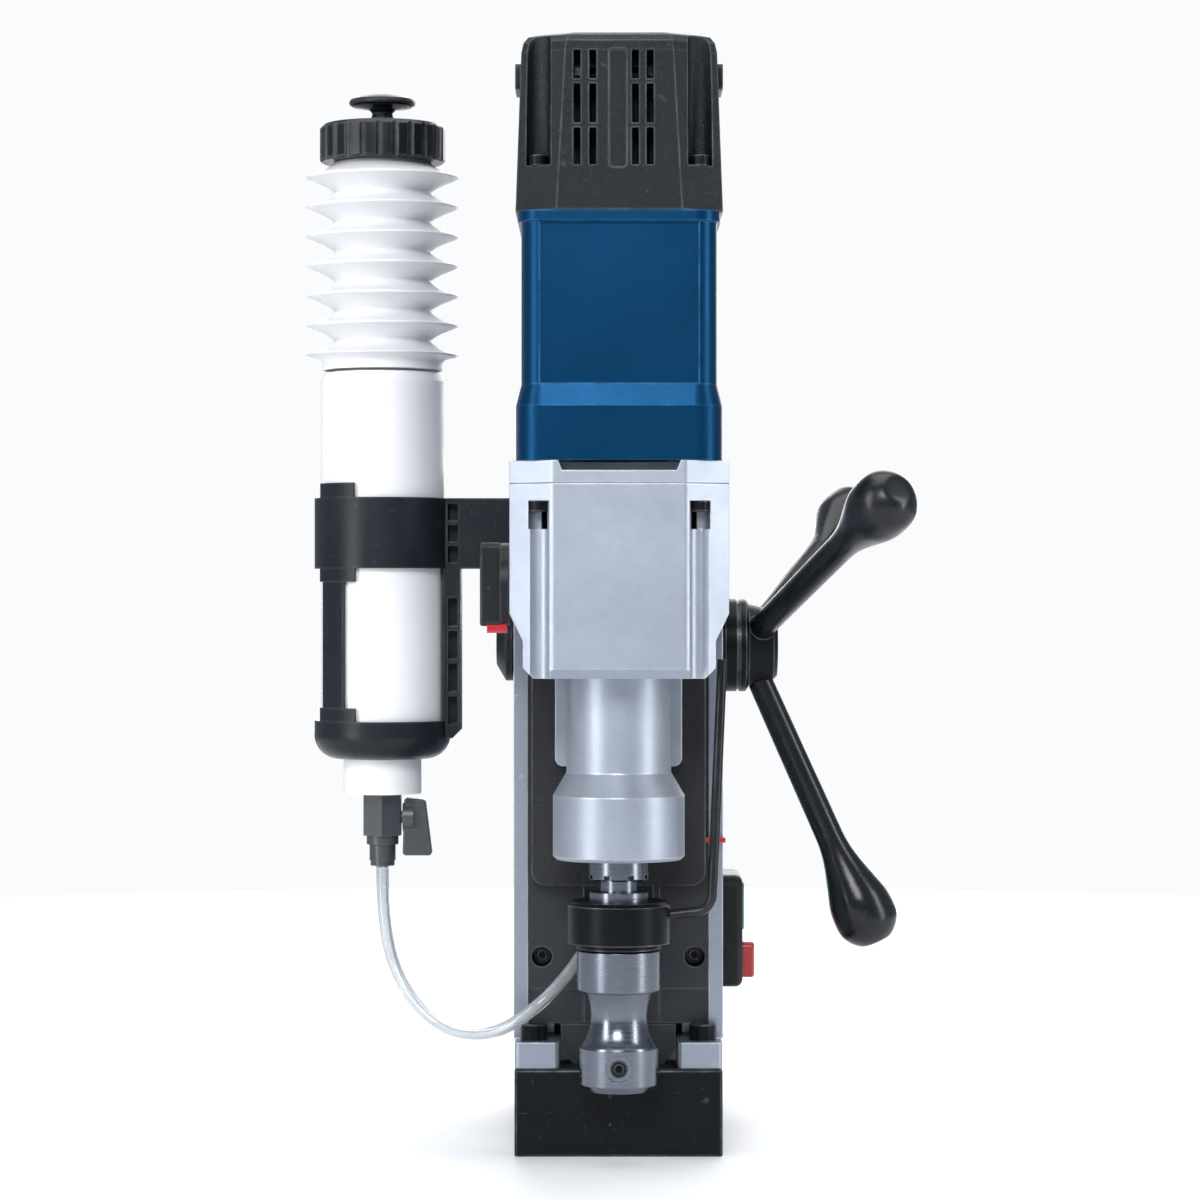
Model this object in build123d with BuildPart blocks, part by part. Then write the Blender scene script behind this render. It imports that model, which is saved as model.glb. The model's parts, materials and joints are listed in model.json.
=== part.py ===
from build123d import *
import math
import os

# Magnetic drill press. Millimetres, +Z up, -Y front, +X towards the feed handle.
# The origin is the centre of the magnet's clamping face.

# ---- Driving dimensions ----
# Magnet foot
MAGNET_WIDTH = 100.0
MAGNET_LENGTH = 190.0
MAGNET_HEIGHT = 42.0
COIL_SLOT_WIDTH = 13.0
COIL_SLOT_DEPTH = 30.0
COIL_SLOT_EDGE = 13.0

# Column
COLUMN_HALF = 50.8
COLUMN_WALL = 7.0
COLUMN_FRONT = -75.0
COLUMN_BACK = 62.0
COLUMN_TOP = 329.5
BASE_THICK = 12.5
FOOT_INSIDE = 28.4
FOOT_OUTSIDE = 50.0
FOOT_REACH = 92.6
FOOT_SCREW_X = 40.8
FOOT_SCREW_Y = 81.5
WEB_Y = -18.0
WEB_THICK = 6.0

# Guide
RAIL_FRONT = -74.5
RAIL_BACK = -52.0
RAIL_BOTTOM = 61.6
RAIL_TOP = 327.0
RAIL_STEP_TOP = 78.4
RAIL_STEP_DEPTH = 1.0
STOP_TOP = 100.0
STOP_BACK = -60.6
TONGUE_BACK = -60.0
TONGUE_HALF_FRONT = 16.0
DOVETAIL_ANGLE = 20.0
GIB_THICK = 3.0
SLIDE_GAP = 0.1
RAIL_SCREW_X = 37.1
RAIL_SCREW_SEAT = 14.0
RAIL_SCREW_Z = (94.0, 152.0, 210.0, 268.0, 316.0)
SLIDE_HALF = 42.3
SLIDE_FRONT = -84.0
SLIDE_BACK = -76.0
SLIDE_BOTTOM = 129.0
SLIDE_TOP = 330.0

# Feed: rack and pinion
FEED_Y = -40.0
FEED_Z = 245.0
FEED_MODULE = 2.0
FEED_TEETH = 14
PRESSURE_ANGLE = 25.0
BACKLASH = 0.12
RACK_WIDTH = 18.0
RACK_LOW_TEETH = 20
RACK_HIGH_TEETH = 7
SHAFT_RADIUS = 8.0
BUSH_RADIUS = 17.0

# Feed hub and handles
HUB_START = 52.0
HUB_END = 78.6
HUB_RADIUS = 22.9
HANDLE_X = 62.5
HANDLE_LEAN = 24.1
HANDLE_ROOT = 13.2
HANDLE_LENGTH = 161.0
HANDLE_SHAFT = 6.2
HANDLE_BULB = 15.6

# Gear housing and drive axes
SPINDLE_Y = -119.0
LAYSHAFT_Y = -143.0
HOUSING_FRONT = -170.0
HOUSING_BACK = -84.0
HOUSING_BOTTOM = 231.0
HOUSING_TOP = 321.0
DECK_TOP = 331.6
HOUSING_HALF = 44.6

# Motor
MOTOR_Y = -122.0
MOTOR_HALF = 47.8
MOTOR_HALF_DEPTH = 45.0
MOTOR_TOP = 447.0
CAP_TOP = 530.0

# Spindle, coolant ring and arbor holder
NECK_RADIUS = 24.8
COLLAR_RADIUS = 31.2
COLLAR_BOTTOM = 144.8
NOSE_RADIUS = 14.3
NOSE_BOTTOM = 134.9
RING_RADIUS = 24.4
RING_TOP = 125.0
RING_STEP = 105.2
RING_BOTTOM = 102.6
ARBOR_BOTTOM = 35.4
ARBOR_BORE = 9.525
ARBOR_BORE_DEPTH = 50.0
ARBOR_SCREW_Z = 47.4

# Coolant bottle
BOTTLE_X = -115.4
BOTTLE_Y = -60.0
BOTTLE_RADIUS = 30.2
BOTTLE_NECK = 19.0
BOTTLE_BOTTOM = 172.7
BELLOWS_BOTTOM = 379.5
BELLOWS_TOP = 481.0
BELLOWS_PLEATS = 7
BELLOWS_TIP = 37.5
BELLOWS_VALLEY = 23.8
CAP_RADIUS = 30.6
BOTTLE_CAP_TOP = 499.6
RING_LOW = 282.6
RING_HIGH = 316.9

# Coolant hose, from the valve to the nipple on the coolant ring
HOSE_DIAMETER = 6.0
HOSE_ROUTE = (
    (-115.4, -60.0, 137.2),
    (-115.6, -60.2, 113.0),
    (-108.5, -64.0, 82.0),
    (-87.0, -80.0, 59.0),
    (-60.0, -97.0, 58.0),
    (-37.0, -105.0, 74.0),
    (-18.6, -87.0, 93.6),
    (-11.4, -87.0, 106.4),
)

# Switch box
SWITCH_Y = 0.0
SWITCH_Z = 101.5
SWITCH_LENGTH = 50.0
SWITCH_HEIGHT = 56.0
SWITCH_DEPTH = 11.6



# ---- Frames used again and again ----
def axial_plane(y, x=0.0):
    """A plane through a vertical axis: local x is the radius, local y is Z."""
    return Plane(origin=(x, y, 0), x_dir=(1, 0, 0), z_dir=(0, -1, 0))


SPINDLE_PLANE = axial_plane(SPINDLE_Y)
SPINDLE_AXIS = Axis((0, SPINDLE_Y, 0), (0, 0, 1))
BOTTLE_PLANE = axial_plane(BOTTLE_Y, BOTTLE_X)
BOTTLE_AXIS = Axis((BOTTLE_X, BOTTLE_Y, 0), (0, 0, 1))
FEED_PLANE = Plane(origin=(0, FEED_Y, FEED_Z), x_dir=(1, 0, 0), z_dir=(0, -1, 0))
FEED_AXIS = Axis((0, FEED_Y, FEED_Z), (1, 0, 0))
SELECTOR_Y = -127.0
SELECTOR_Z = 274.6


def looking_left(x, y, z):
    """A plane whose normal is +X, with local x along Y and local y along Z."""
    return Plane(origin=(x, y, z), x_dir=(0, 1, 0), z_dir=(1, 0, 0))


def looking_front(y, x=0.0, z=0.0):
    """A plane whose normal is +Y, with local x along -X and local y along Z."""
    return Plane(origin=(x, y, z), x_dir=(-1, 0, 0), z_dir=(0, 1, 0))


def outline(plane, points):
    """A flat face from its corners."""
    with BuildSketch(plane) as shape:
        with BuildLine():
            Polyline(*points, close=True)
        make_face()
    return shape.sketch


def disc(plane, radius, hole=0.0):
    """A round face, with a hole if one is asked for."""
    with BuildSketch(plane) as shape:
        Circle(radius)
        if hole:
            Circle(hole, mode=Mode.SUBTRACT)
    return shape.sketch


def rounded(plane, width, height, radius):
    """A rectangle with rounded corners."""
    with BuildSketch(plane) as shape:
        RectangleRounded(width, height, radius)
    return shape.sketch


# ---- Gear teeth ----
def involute(angle):
    return math.tan(angle) - angle


def flank_angle(radius, module, teeth):
    """Half the angle that a tooth spans at this radius."""
    pressure = math.radians(PRESSURE_ANGLE)
    base = module * teeth / 2 * math.cos(pressure)
    at_pitch = (math.pi / 2 - BACKLASH / module) / teeth
    return at_pitch + involute(pressure) - involute(math.acos(min(1.0, base / radius)))


def polar(radius, angle):
    return (radius * math.cos(angle), radius * math.sin(angle))


def gear_face(plane, module, teeth, first_angle, hole=0.0):
    """A spur gear's section, with a tooth centred at first_angle."""
    pitch = module * teeth / 2
    base = pitch * math.cos(math.radians(PRESSURE_ANGLE))
    root = pitch - 1.25 * module
    tip = pitch + 0.95 * module
    start = max(base, root) + 0.01
    middle = (start + tip) / 2
    half_start = flank_angle(start, module, teeth)
    half_middle = flank_angle(middle, module, teeth)
    half_tip = flank_angle(tip, module, teeth)
    step = 2 * math.pi / teeth
    with BuildSketch(plane) as shape:
        with BuildLine():
            for tooth in range(teeth):
                centre = first_angle + tooth * step
                foot = polar(root, centre - half_start)
                ThreePointArc(
                    polar(root, centre - step + half_start), polar(root, centre - step / 2), foot
                )
                Line(foot, polar(start, centre - half_start))
                ThreePointArc(
                    polar(start, centre - half_start),
                    polar(middle, centre - half_middle),
                    polar(tip, centre - half_tip),
                )
                ThreePointArc(
                    polar(tip, centre - half_tip), polar(tip, centre), polar(tip, centre + half_tip)
                )
                ThreePointArc(
                    polar(tip, centre + half_tip),
                    polar(middle, centre + half_middle),
                    polar(start, centre + half_start),
                )
                Line(polar(start, centre + half_start), polar(root, centre + half_start))
        make_face()
        if hole:
            Circle(hole, mode=Mode.SUBTRACT)
    return shape.sketch


def finish(part, label):
    """Name a finished piece and write its STEP file."""
    part.part.label = label
    export_step(part.part, f"parts/{label}.step")
    return part.part


os.makedirs("parts", exist_ok=True)


# ======================= Stand =======================
COIL_OUTER_X = MAGNET_WIDTH - 2 * COIL_SLOT_EDGE
COIL_OUTER_Y = MAGNET_LENGTH - 2 * COIL_SLOT_EDGE


def coil_ring(z, inset):
    """The section of the magnet's ring slot, drawn in by inset on both sides."""
    with BuildSketch(Plane.XY.offset(z)) as shape:
        RectangleRounded(COIL_OUTER_X - 2 * inset, COIL_OUTER_Y - 2 * inset, 14)
        RectangleRounded(
            COIL_OUTER_X - 2 * COIL_SLOT_WIDTH + 2 * inset,
            COIL_OUTER_Y - 2 * COIL_SLOT_WIDTH + 2 * inset,
            5,
            mode=Mode.SUBTRACT,
        )
    return shape.sketch


# Every foot's screw stands on the same rectangle of four places
foot_places = [
    (side * FOOT_SCREW_X, end * FOOT_SCREW_Y) for side in (-1, 1) for end in (-1, 1)
]

with BuildPart() as magnet_foot:
    with BuildSketch(Plane.XY):
        Rectangle(MAGNET_WIDTH, MAGNET_LENGTH)
    extrude(amount=MAGNET_HEIGHT)
    chamfer(magnet_foot.edges().filter_by(Axis.Z), 0.8)
    chamfer(magnet_foot.faces().sort_by(Axis.Z)[-1].edges(), 1.0)
    chamfer(magnet_foot.faces().sort_by(Axis.Z)[0].edges(), 0.6)
    extrude(coil_ring(0, 0), amount=COIL_SLOT_DEPTH, mode=Mode.SUBTRACT)
    with Locations([(x, y, MAGNET_HEIGHT) for x, y in foot_places]):
        Hole(4.0, depth=16)
    # the coil's leads leave through one drilled way under the cable cover
    with Locations((0, -72, MAGNET_HEIGHT)):
        Hole(2.5, depth=MAGNET_HEIGHT - COIL_SLOT_DEPTH + 1)
finish(magnet_foot, "magnet_foot")

POTTING_DEPTH = 5.0
with BuildPart() as magnet_coil:
    extrude(coil_ring(POTTING_DEPTH, 0.6), amount=COIL_SLOT_DEPTH - POTTING_DEPTH - 0.5)
    fillet(magnet_coil.edges().filter_by(GeomType.LINE).filter_by(Axis.Y).sort_by(Axis.Z)[:2], 0.8)
finish(magnet_coil, "magnet_coil")

with BuildPart() as magnet_potting:
    extrude(coil_ring(0.4, 0), amount=POTTING_DEPTH - 0.4)
finish(magnet_potting, "magnet_potting")

BASE_TOP = MAGNET_HEIGHT + BASE_THICK
WALL_INSIDE = COLUMN_HALF - COLUMN_WALL

with BuildPart() as column_frame:
    # base plate with four feet standing out in front and behind
    with BuildSketch(Plane.XY.offset(MAGNET_HEIGHT)):
        with Locations((0, -1)):
            Rectangle(2 * COLUMN_HALF - 1.6, 122)
        for side in (-1, 1):
            with Locations((side * (FOOT_INSIDE + FOOT_OUTSIDE) / 2, 0)):
                Rectangle(FOOT_OUTSIDE - FOOT_INSIDE, 2 * FOOT_REACH)
    extrude(amount=BASE_THICK)
    # two side walls
    for side in (-1, 1):
        middle = side * (COLUMN_HALF - COLUMN_WALL / 2)
        with BuildSketch(Plane.XY.offset(BASE_TOP)):
            with Locations((middle, (COLUMN_FRONT + COLUMN_BACK) / 2)):
                Rectangle(COLUMN_WALL, COLUMN_BACK - COLUMN_FRONT)
        extrude(amount=COLUMN_TOP - BASE_TOP)
        # flange that carries the guide rail
        with BuildSketch(Plane.XY.offset(BASE_TOP)):
            with Locations((side * (WALL_INSIDE - 6), RAIL_BACK + 5)):
                Rectangle(13, 10)
        extrude(amount=RAIL_TOP - BASE_TOP)
    # cross web between the feed bay and the electronics bay
    with BuildSketch(Plane.XY.offset(BASE_TOP)):
        with Locations((0, WEB_Y)):
            Rectangle(2 * WALL_INSIDE + 1, WEB_THICK)
    extrude(amount=COLUMN_TOP - BASE_TOP)
    # outside bosses around the feed shaft
    for side in (-1, 1):
        extrude(
            disc(looking_left(side * (COLUMN_HALF - 1), FEED_Y, FEED_Z), BUSH_RADIUS + 6),
            amount=side * 1.4,
        )
    front_feet = column_frame.edges().filter_by(Axis.Z).group_by(Axis.Y)[0]
    fillet(front_feet, 2.5)
    rear_feet = column_frame.edges().filter_by(Axis.Z).group_by(Axis.Y)[-1]
    fillet(rear_feet, 2.5)
    # feed shaft bore through both walls
    extrude(
        disc(looking_left(-COLUMN_HALF - 2, FEED_Y, FEED_Z), BUSH_RADIUS),
        amount=2 * COLUMN_HALF + 4,
        mode=Mode.SUBTRACT,
    )
    with Locations([(x, y, BASE_TOP) for x, y in foot_places]):
        Hole(4.5, depth=BASE_THICK)
    # threaded holes for the rail screws
    for side in (-1, 1):
        for z in RAIL_SCREW_Z:
            extrude(
                disc(looking_front(RAIL_BACK, side * RAIL_SCREW_X, z), 2.5),
                amount=9.0,
                mode=Mode.SUBTRACT,
            )
    # screwdriver ways to the gib screws, through the right wall
    for z in (110, 170, 290):
        extrude(
            disc(looking_left(WALL_INSIDE - 1, -67, z), 3.2),
            amount=COLUMN_WALL + 2,
            mode=Mode.SUBTRACT,
        )
    # lead way from the magnet and one from the switch box
    with BuildSketch(Plane.XY.offset(BASE_TOP)):
        with Locations((0, -54)):
            Rectangle(10, 18)
    extrude(amount=-BASE_THICK, mode=Mode.SUBTRACT)
    extrude(
        disc(looking_front(WEB_Y - WEB_THICK, 0, 72), 5.0), amount=3 * WEB_THICK, mode=Mode.SUBTRACT
    )
    extrude(
        disc(looking_left(WALL_INSIDE - 1, SWITCH_Y, SWITCH_Z), 12.0),
        amount=COLUMN_WALL + 2,
        mode=Mode.SUBTRACT,
    )
    # screw holes for the rear and top covers
    for side in (-1, 1):
        for z in (68, 190, 318):
            extrude(
                disc(looking_front(COLUMN_BACK - 10, side * 47.3, z), 1.5),
                amount=12,
                mode=Mode.SUBTRACT,
            )
        for y in (-66, 50):
            with Locations((side * 47.3, y, COLUMN_TOP)):
                Hole(1.5, depth=9)
finish(column_frame, "column_frame")

with BuildPart() as magnet_cable_cover:
    with BuildSketch(looking_front(-74, 0, MAGNET_HEIGHT)):
        with BuildLine():
            Polyline(
                (-28, 7), (-22, 0), (22, 0), (28, 7), (28, 19.4), (-28, 19.4), close=True
            )
        make_face()
    extrude(amount=11.8)
    # room for the leads, open below and behind
    with BuildSketch(looking_front(-76 + 5, 0, MAGNET_HEIGHT)):
        with Locations((0, 7)):
            Rectangle(16, 14)
    extrude(amount=11.8, mode=Mode.SUBTRACT)
finish(magnet_cable_cover, "magnet_cable_cover")


def tongue_half(y):
    """Half the width of the slide's dovetail tongue at this depth."""
    return TONGUE_HALF_FRONT + (y - SLIDE_BACK) * math.tan(math.radians(DOVETAIL_ANGLE))


RAIL_LEDGE = TONGUE_BACK + 0.2


def rail_outline(side, gap):
    """The section of one guide rail; gap is what it leaves beside the tongue."""
    outer = WALL_INSIDE - 0.05
    points = [
        (outer, RAIL_FRONT),
        (tongue_half(RAIL_FRONT) + gap, RAIL_FRONT),
        (tongue_half(RAIL_LEDGE) + gap, RAIL_LEDGE),
        (tongue_half(RAIL_LEDGE) + gap, RAIL_BACK),
        (outer, RAIL_BACK),
    ]
    return outline(Plane.XY.offset(RAIL_BOTTOM), [(side * x, y) for x, y in points])


GIB_SCREW_Z = (110, 170, 290)
GIB_SCREW_Y = -67.0

for side, gap, label in (
    (-1, SLIDE_GAP, "guide_rail_left"),
    (1, GIB_THICK + SLIDE_GAP, "guide_rail_right"),
):
    with BuildPart() as guide_rail:
        extrude(rail_outline(side, gap), amount=RAIL_TOP - RAIL_BOTTOM)
        # shallow step across the foot of the rail
        with BuildSketch(looking_front(RAIL_FRONT, side * 30, (RAIL_BOTTOM + RAIL_STEP_TOP) / 2)):
            Rectangle(40, RAIL_STEP_TOP - RAIL_BOTTOM)
        extrude(amount=RAIL_STEP_DEPTH, mode=Mode.SUBTRACT)
        for z in RAIL_SCREW_Z:
            extrude(
                disc(looking_front(RAIL_FRONT, side * RAIL_SCREW_X, z), 4.9),
                amount=RAIL_SCREW_SEAT,
                mode=Mode.SUBTRACT,
            )
            extrude(
                disc(looking_front(RAIL_FRONT, side * RAIL_SCREW_X, z), 2.75),
                amount=RAIL_BACK - RAIL_FRONT,
                mode=Mode.SUBTRACT,
            )
        if side > 0:
            for z in GIB_SCREW_Z:
                extrude(
                    disc(looking_left(10, GIB_SCREW_Y, z), 2.5),
                    amount=WALL_INSIDE,
                    mode=Mode.SUBTRACT,
                )
    finish(guide_rail, label)

with BuildPart() as gib_strip:
    gib_low = RAIL_FRONT + 0.3
    gib_high = TONGUE_BACK
    extrude(
        outline(
            Plane.XY.offset(102.0),
            [
                (tongue_half(gib_low) + 0.05, gib_low),
                (tongue_half(gib_low) + GIB_THICK + 0.05, gib_low),
                (tongue_half(gib_high) + GIB_THICK + 0.05, gib_high),
                (tongue_half(gib_high) + 0.05, gib_high),
            ],
        ),
        amount=RAIL_TOP - 102.0,
    )
finish(gib_strip, "gib_strip")

with BuildPart() as travel_stop:
    with BuildSketch(Plane.XY.offset(RAIL_BOTTOM)):
        with BuildLine():
            Polyline(
                (-tongue_half(RAIL_FRONT) + 0.2, RAIL_FRONT),
                (tongue_half(RAIL_FRONT) + GIB_THICK - 0.2, RAIL_FRONT),
                (tongue_half(STOP_BACK) + GIB_THICK - 0.2, STOP_BACK),
                (-tongue_half(STOP_BACK) + 0.2, STOP_BACK),
                close=True,
            )
        make_face()
    extrude(amount=STOP_TOP - RAIL_BOTTOM)
    with BuildSketch(looking_front(RAIL_FRONT, 0, (RAIL_BOTTOM + RAIL_STEP_TOP) / 2)):
        Rectangle(60, RAIL_STEP_TOP - RAIL_BOTTOM)
    extrude(amount=RAIL_STEP_DEPTH, mode=Mode.SUBTRACT)
finish(travel_stop, "travel_stop")


def cap_screw(plane, head_radius, head_height, shank_radius, shank_length):
    """A socket head cap screw; the plane's normal points from the head to the tip."""
    with BuildPart() as screw:
        extrude(disc(plane, head_radius), amount=-head_height)
        chamfer(screw.edges().sort_by(SortBy.LENGTH)[-1], 0.4)
        extrude(disc(plane, shank_radius), amount=shank_length)
        with BuildSketch(plane.offset(-head_height)):
            RegularPolygon(head_radius * 0.55, 6)
        extrude(amount=head_height * 0.55, mode=Mode.SUBTRACT)
    return screw.part


def group(parts, label):
    """Several identical fasteners kept as separate solids of one node."""
    with BuildPart() as gathered:
        for part in parts:
            add(part)
    return finish(gathered, label)


group(
    [
        cap_screw(
            Plane(origin=(x, y, BASE_TOP), x_dir=(1, 0, 0), z_dir=(0, 0, -1)), 6.5, 8.0, 3.95, 26.0
        )
        for x, y in foot_places
    ],
    "foot_screws",
)
group(
    [
        cap_screw(
            looking_front(RAIL_FRONT + RAIL_SCREW_SEAT, side * RAIL_SCREW_X, z),
            4.25,
            5.0,
            2.45,
            29.0 - RAIL_SCREW_SEAT,
        )
        for side in (-1, 1)
        for z in RAIL_SCREW_Z
    ],
    "rail_screws",
)

gib_screws = []
for z in GIB_SCREW_Z:
    with BuildPart() as screw:
        tip = tongue_half(GIB_SCREW_Y) + GIB_THICK + 1.4
        extrude(disc(looking_left(tip, GIB_SCREW_Y, z), 2.45), amount=16)
        with BuildSketch(looking_left(tip + 16, GIB_SCREW_Y, z)):
            RegularPolygon(1.5, 6)
        extrude(amount=-3, mode=Mode.SUBTRACT)
    gib_screws.append(screw.part)
group(gib_screws, "gib_screws")

bushes = []
for side in (-1, 1):
    with BuildPart() as bush:
        extrude(
            disc(
                looking_left(side * WALL_INSIDE, FEED_Y, FEED_Z),
                BUSH_RADIUS - 0.02,
                SHAFT_RADIUS + 0.04,
            ),
            amount=side * 7.4,
        )
    bushes.append(bush.part)
group(bushes, "shaft_bushes")

with BuildPart() as column_top_cover:
    with BuildSketch(Plane.XY.offset(COLUMN_TOP)):
        with Locations((0, (COLUMN_FRONT + COLUMN_BACK) / 2 + 0.5)):
            Rectangle(2 * COLUMN_HALF, COLUMN_BACK - COLUMN_FRONT - 1)
        with Locations((0, -62)):
            Rectangle(54, 30, mode=Mode.SUBTRACT)
    extrude(amount=2.0)
    chamfer(column_top_cover.faces().sort_by(Axis.Z)[-1].edges(), 0.5)
    with Locations([(side * 47.3, y, COLUMN_TOP + 2) for side in (-1, 1) for y in (-66, 50)]):
        Hole(1.7, depth=2.0)
finish(column_top_cover, "column_top_cover")

REAR_COVER_LOW = BASE_TOP + 1
REAR_COVER_HIGH = COLUMN_TOP - 0.5
with BuildPart() as rear_cover:
    with BuildSketch(looking_front(COLUMN_BACK, 0, (REAR_COVER_LOW + REAR_COVER_HIGH) / 2)):
        RectangleRounded(2 * COLUMN_HALF - 0.6, REAR_COVER_HIGH - REAR_COVER_LOW, 3)
    extrude(amount=3.0)
    chamfer(rear_cover.faces().sort_by(Axis.Y)[-1].edges(), 0.6)
    for side in (-1, 1):
        for z in (68, 190, 318):
            extrude(
                disc(looking_front(COLUMN_BACK, side * 47.3, z), 1.7), amount=3, mode=Mode.SUBTRACT
            )
    extrude(disc(looking_front(COLUMN_BACK, 0, 78), 8.0), amount=3, mode=Mode.SUBTRACT)
    for z in (205, 295):
        extrude(disc(looking_front(COLUMN_BACK, 0, z), 3.2), amount=3, mode=Mode.SUBTRACT)
finish(rear_cover, "rear_cover")

small_screws = [
    cap_screw(
        Plane(origin=(side * 47.3, COLUMN_BACK + 3, z), x_dir=(1, 0, 0), z_dir=(0, -1, 0)),
        2.75,
        2.4,
        1.45,
        11.0,
    )
    for side in (-1, 1)
    for z in (68, 190, 318)
]
small_screws += [
    cap_screw(
        Plane(origin=(side * 47.3, y, COLUMN_TOP + 2), x_dir=(1, 0, 0), z_dir=(0, 0, -1)),
        2.75,
        2.4,
        1.45,
        9.0,
    )
    for side in (-1, 1)
    for y in (-66, 50)
]
group(small_screws, "cover_screws")

HANDLE_FOOT = COLUMN_BACK + 3.0
with BuildPart() as carry_handle:
    with BuildLine() as grip_path:
        FilletPolyline(
            (0, HANDLE_FOOT + 3, 205), (0, 102, 205), (0, 102, 295), (0, HANDLE_FOOT + 3, 295),
            radius=16,
        )
    with BuildSketch(looking_front(HANDLE_FOOT + 3, 0, 205)):
        Circle(8.0)
    sweep(path=grip_path.line)
    for z in (205, 295):
        with BuildSketch(looking_front(HANDLE_FOOT, 0, z)):
            Circle(13.0)
        extrude(amount=5.0)
        # stud that passes through the rear cover
        extrude(disc(looking_front(HANDLE_FOOT, 0, z), 3.0), amount=-8.0)
finish(carry_handle, "carry_handle")

with BuildPart() as cable_gland:
    extrude(disc(looking_front(COLUMN_BACK - 4, 0, 78), 7.9), amount=8)
    with BuildSketch(looking_front(HANDLE_FOOT, 0, 78)):
        RegularPolygon(11.0, 6)
    extrude(amount=5)
    with BuildSketch(looking_front(HANDLE_FOOT + 5, 0, 78)):
        Circle(9.0)
    extrude(amount=9, taper=8)
    extrude(disc(looking_front(COLUMN_BACK - 4, 0, 78), 3.6), amount=24, mode=Mode.SUBTRACT)
finish(cable_gland, "cable_gland")

SWITCH_IN = COLUMN_HALF + 0.1
START_Z = 113.5
STOP_Z = 86.4
BUTTON_WIDTH = 30.0
START_HEIGHT = 24.0
START_PROUD = 1.0
STOP_HEIGHT = 18.0


def button_face(x, z, width, height):
    return rounded(looking_left(x, SWITCH_Y, z), width, height, 3.0)


with BuildPart() as switch_box:
    extrude(
        rounded(looking_left(SWITCH_IN, SWITCH_Y, SWITCH_Z), SWITCH_LENGTH, SWITCH_HEIGHT, 6),
        amount=SWITCH_DEPTH,
    )
    fillet(switch_box.faces().sort_by(Axis.X)[-1].edges(), 3.6)
    extrude(
        rounded(looking_left(SWITCH_IN, SWITCH_Y, SWITCH_Z), SWITCH_LENGTH - 5, SWITCH_HEIGHT - 5, 4),
        amount=SWITCH_DEPTH - 2.4,
        mode=Mode.SUBTRACT,
    )
    for z, height in ((START_Z, START_HEIGHT), (STOP_Z, STOP_HEIGHT)):
        extrude(
            button_face(SWITCH_IN, z, BUTTON_WIDTH + 0.6, height + 0.6),
            amount=SWITCH_DEPTH + 1,
            mode=Mode.SUBTRACT,
        )
    # contact block behind each button
    for z in (START_Z, STOP_Z):
        with BuildSketch(looking_left(SWITCH_IN, SWITCH_Y, z)):
            Rectangle(38, 9)
        extrude(amount=3.0)
    with BuildSketch(looking_left(SWITCH_IN, SWITCH_Y, SWITCH_Z)):
        for y in (-20.5, 20.5):
            with Locations((y, 0)):
                Rectangle(4.5, SWITCH_HEIGHT - 4)
    extrude(amount=3.0)
finish(switch_box, "switch_box")

with BuildPart() as start_button:
    extrude(
        button_face(SWITCH_IN + 6.0, START_Z, BUTTON_WIDTH, START_HEIGHT),
        amount=SWITCH_DEPTH - 6.0 + START_PROUD,
    )
    fillet(start_button.faces().sort_by(Axis.X)[-1].edges(), 0.7)
finish(start_button, "start_button")

with BuildPart() as stop_button:
    extrude(
        button_face(SWITCH_IN + 6.6, STOP_Z, BUTTON_WIDTH, STOP_HEIGHT),
        amount=SWITCH_DEPTH - 6.6 + 6.2,
    )
    fillet(stop_button.faces().sort_by(Axis.X)[-1].edges(), 1.6)
finish(stop_button, "stop_button")

with BuildPart() as control_board:
    with BuildSketch(looking_front(30, 0, 190)):
        Rectangle(70, 110)
    extrude(amount=1.6)
    for x, z, wide, tall, deep in (
        (-18, 165, 24, 18, 15),
        (16, 170, 18, 30, 10),
        (-20, 215, 16, 12, 20),
        (14, 220, 30, 10, 12),
    ):
        with BuildSketch(looking_front(31.6, x, z)):
            Rectangle(wide, tall)
        extrude(amount=deep)
    # stand-offs to the cross web
    for x in (-30, 30):
        for z in (140, 240):
            extrude(disc(looking_front(WEB_Y + WEB_THICK / 2, x, z), 3.0), amount=45)
finish(control_board, "control_board")


# ======================= Coolant bottle =======================
def ring_sector(plane, inner, outer, start, end):
    """Part of a ring between two angles in degrees."""
    low, high = math.radians(start), math.radians(end)
    middle = (low + high) / 2
    with BuildSketch(plane) as shape:
        with BuildLine():
            ThreePointArc(polar(outer, low), polar(outer, middle), polar(outer, high))
            Line(polar(outer, high), polar(inner, high))
            ThreePointArc(polar(inner, high), polar(inner, middle), polar(inner, low))
            Line(polar(inner, low), polar(outer, low))
        make_face()
    return shape.sketch


HOLDER_INNER = BOTTLE_RADIUS + 0.5
HOLDER_OUTER = 33.2
CUP_RIM = 208.5
CUP_BOTTOM = 189.8
SPINE_IN = -84.2
SPINE_OUT = -76.8

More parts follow.
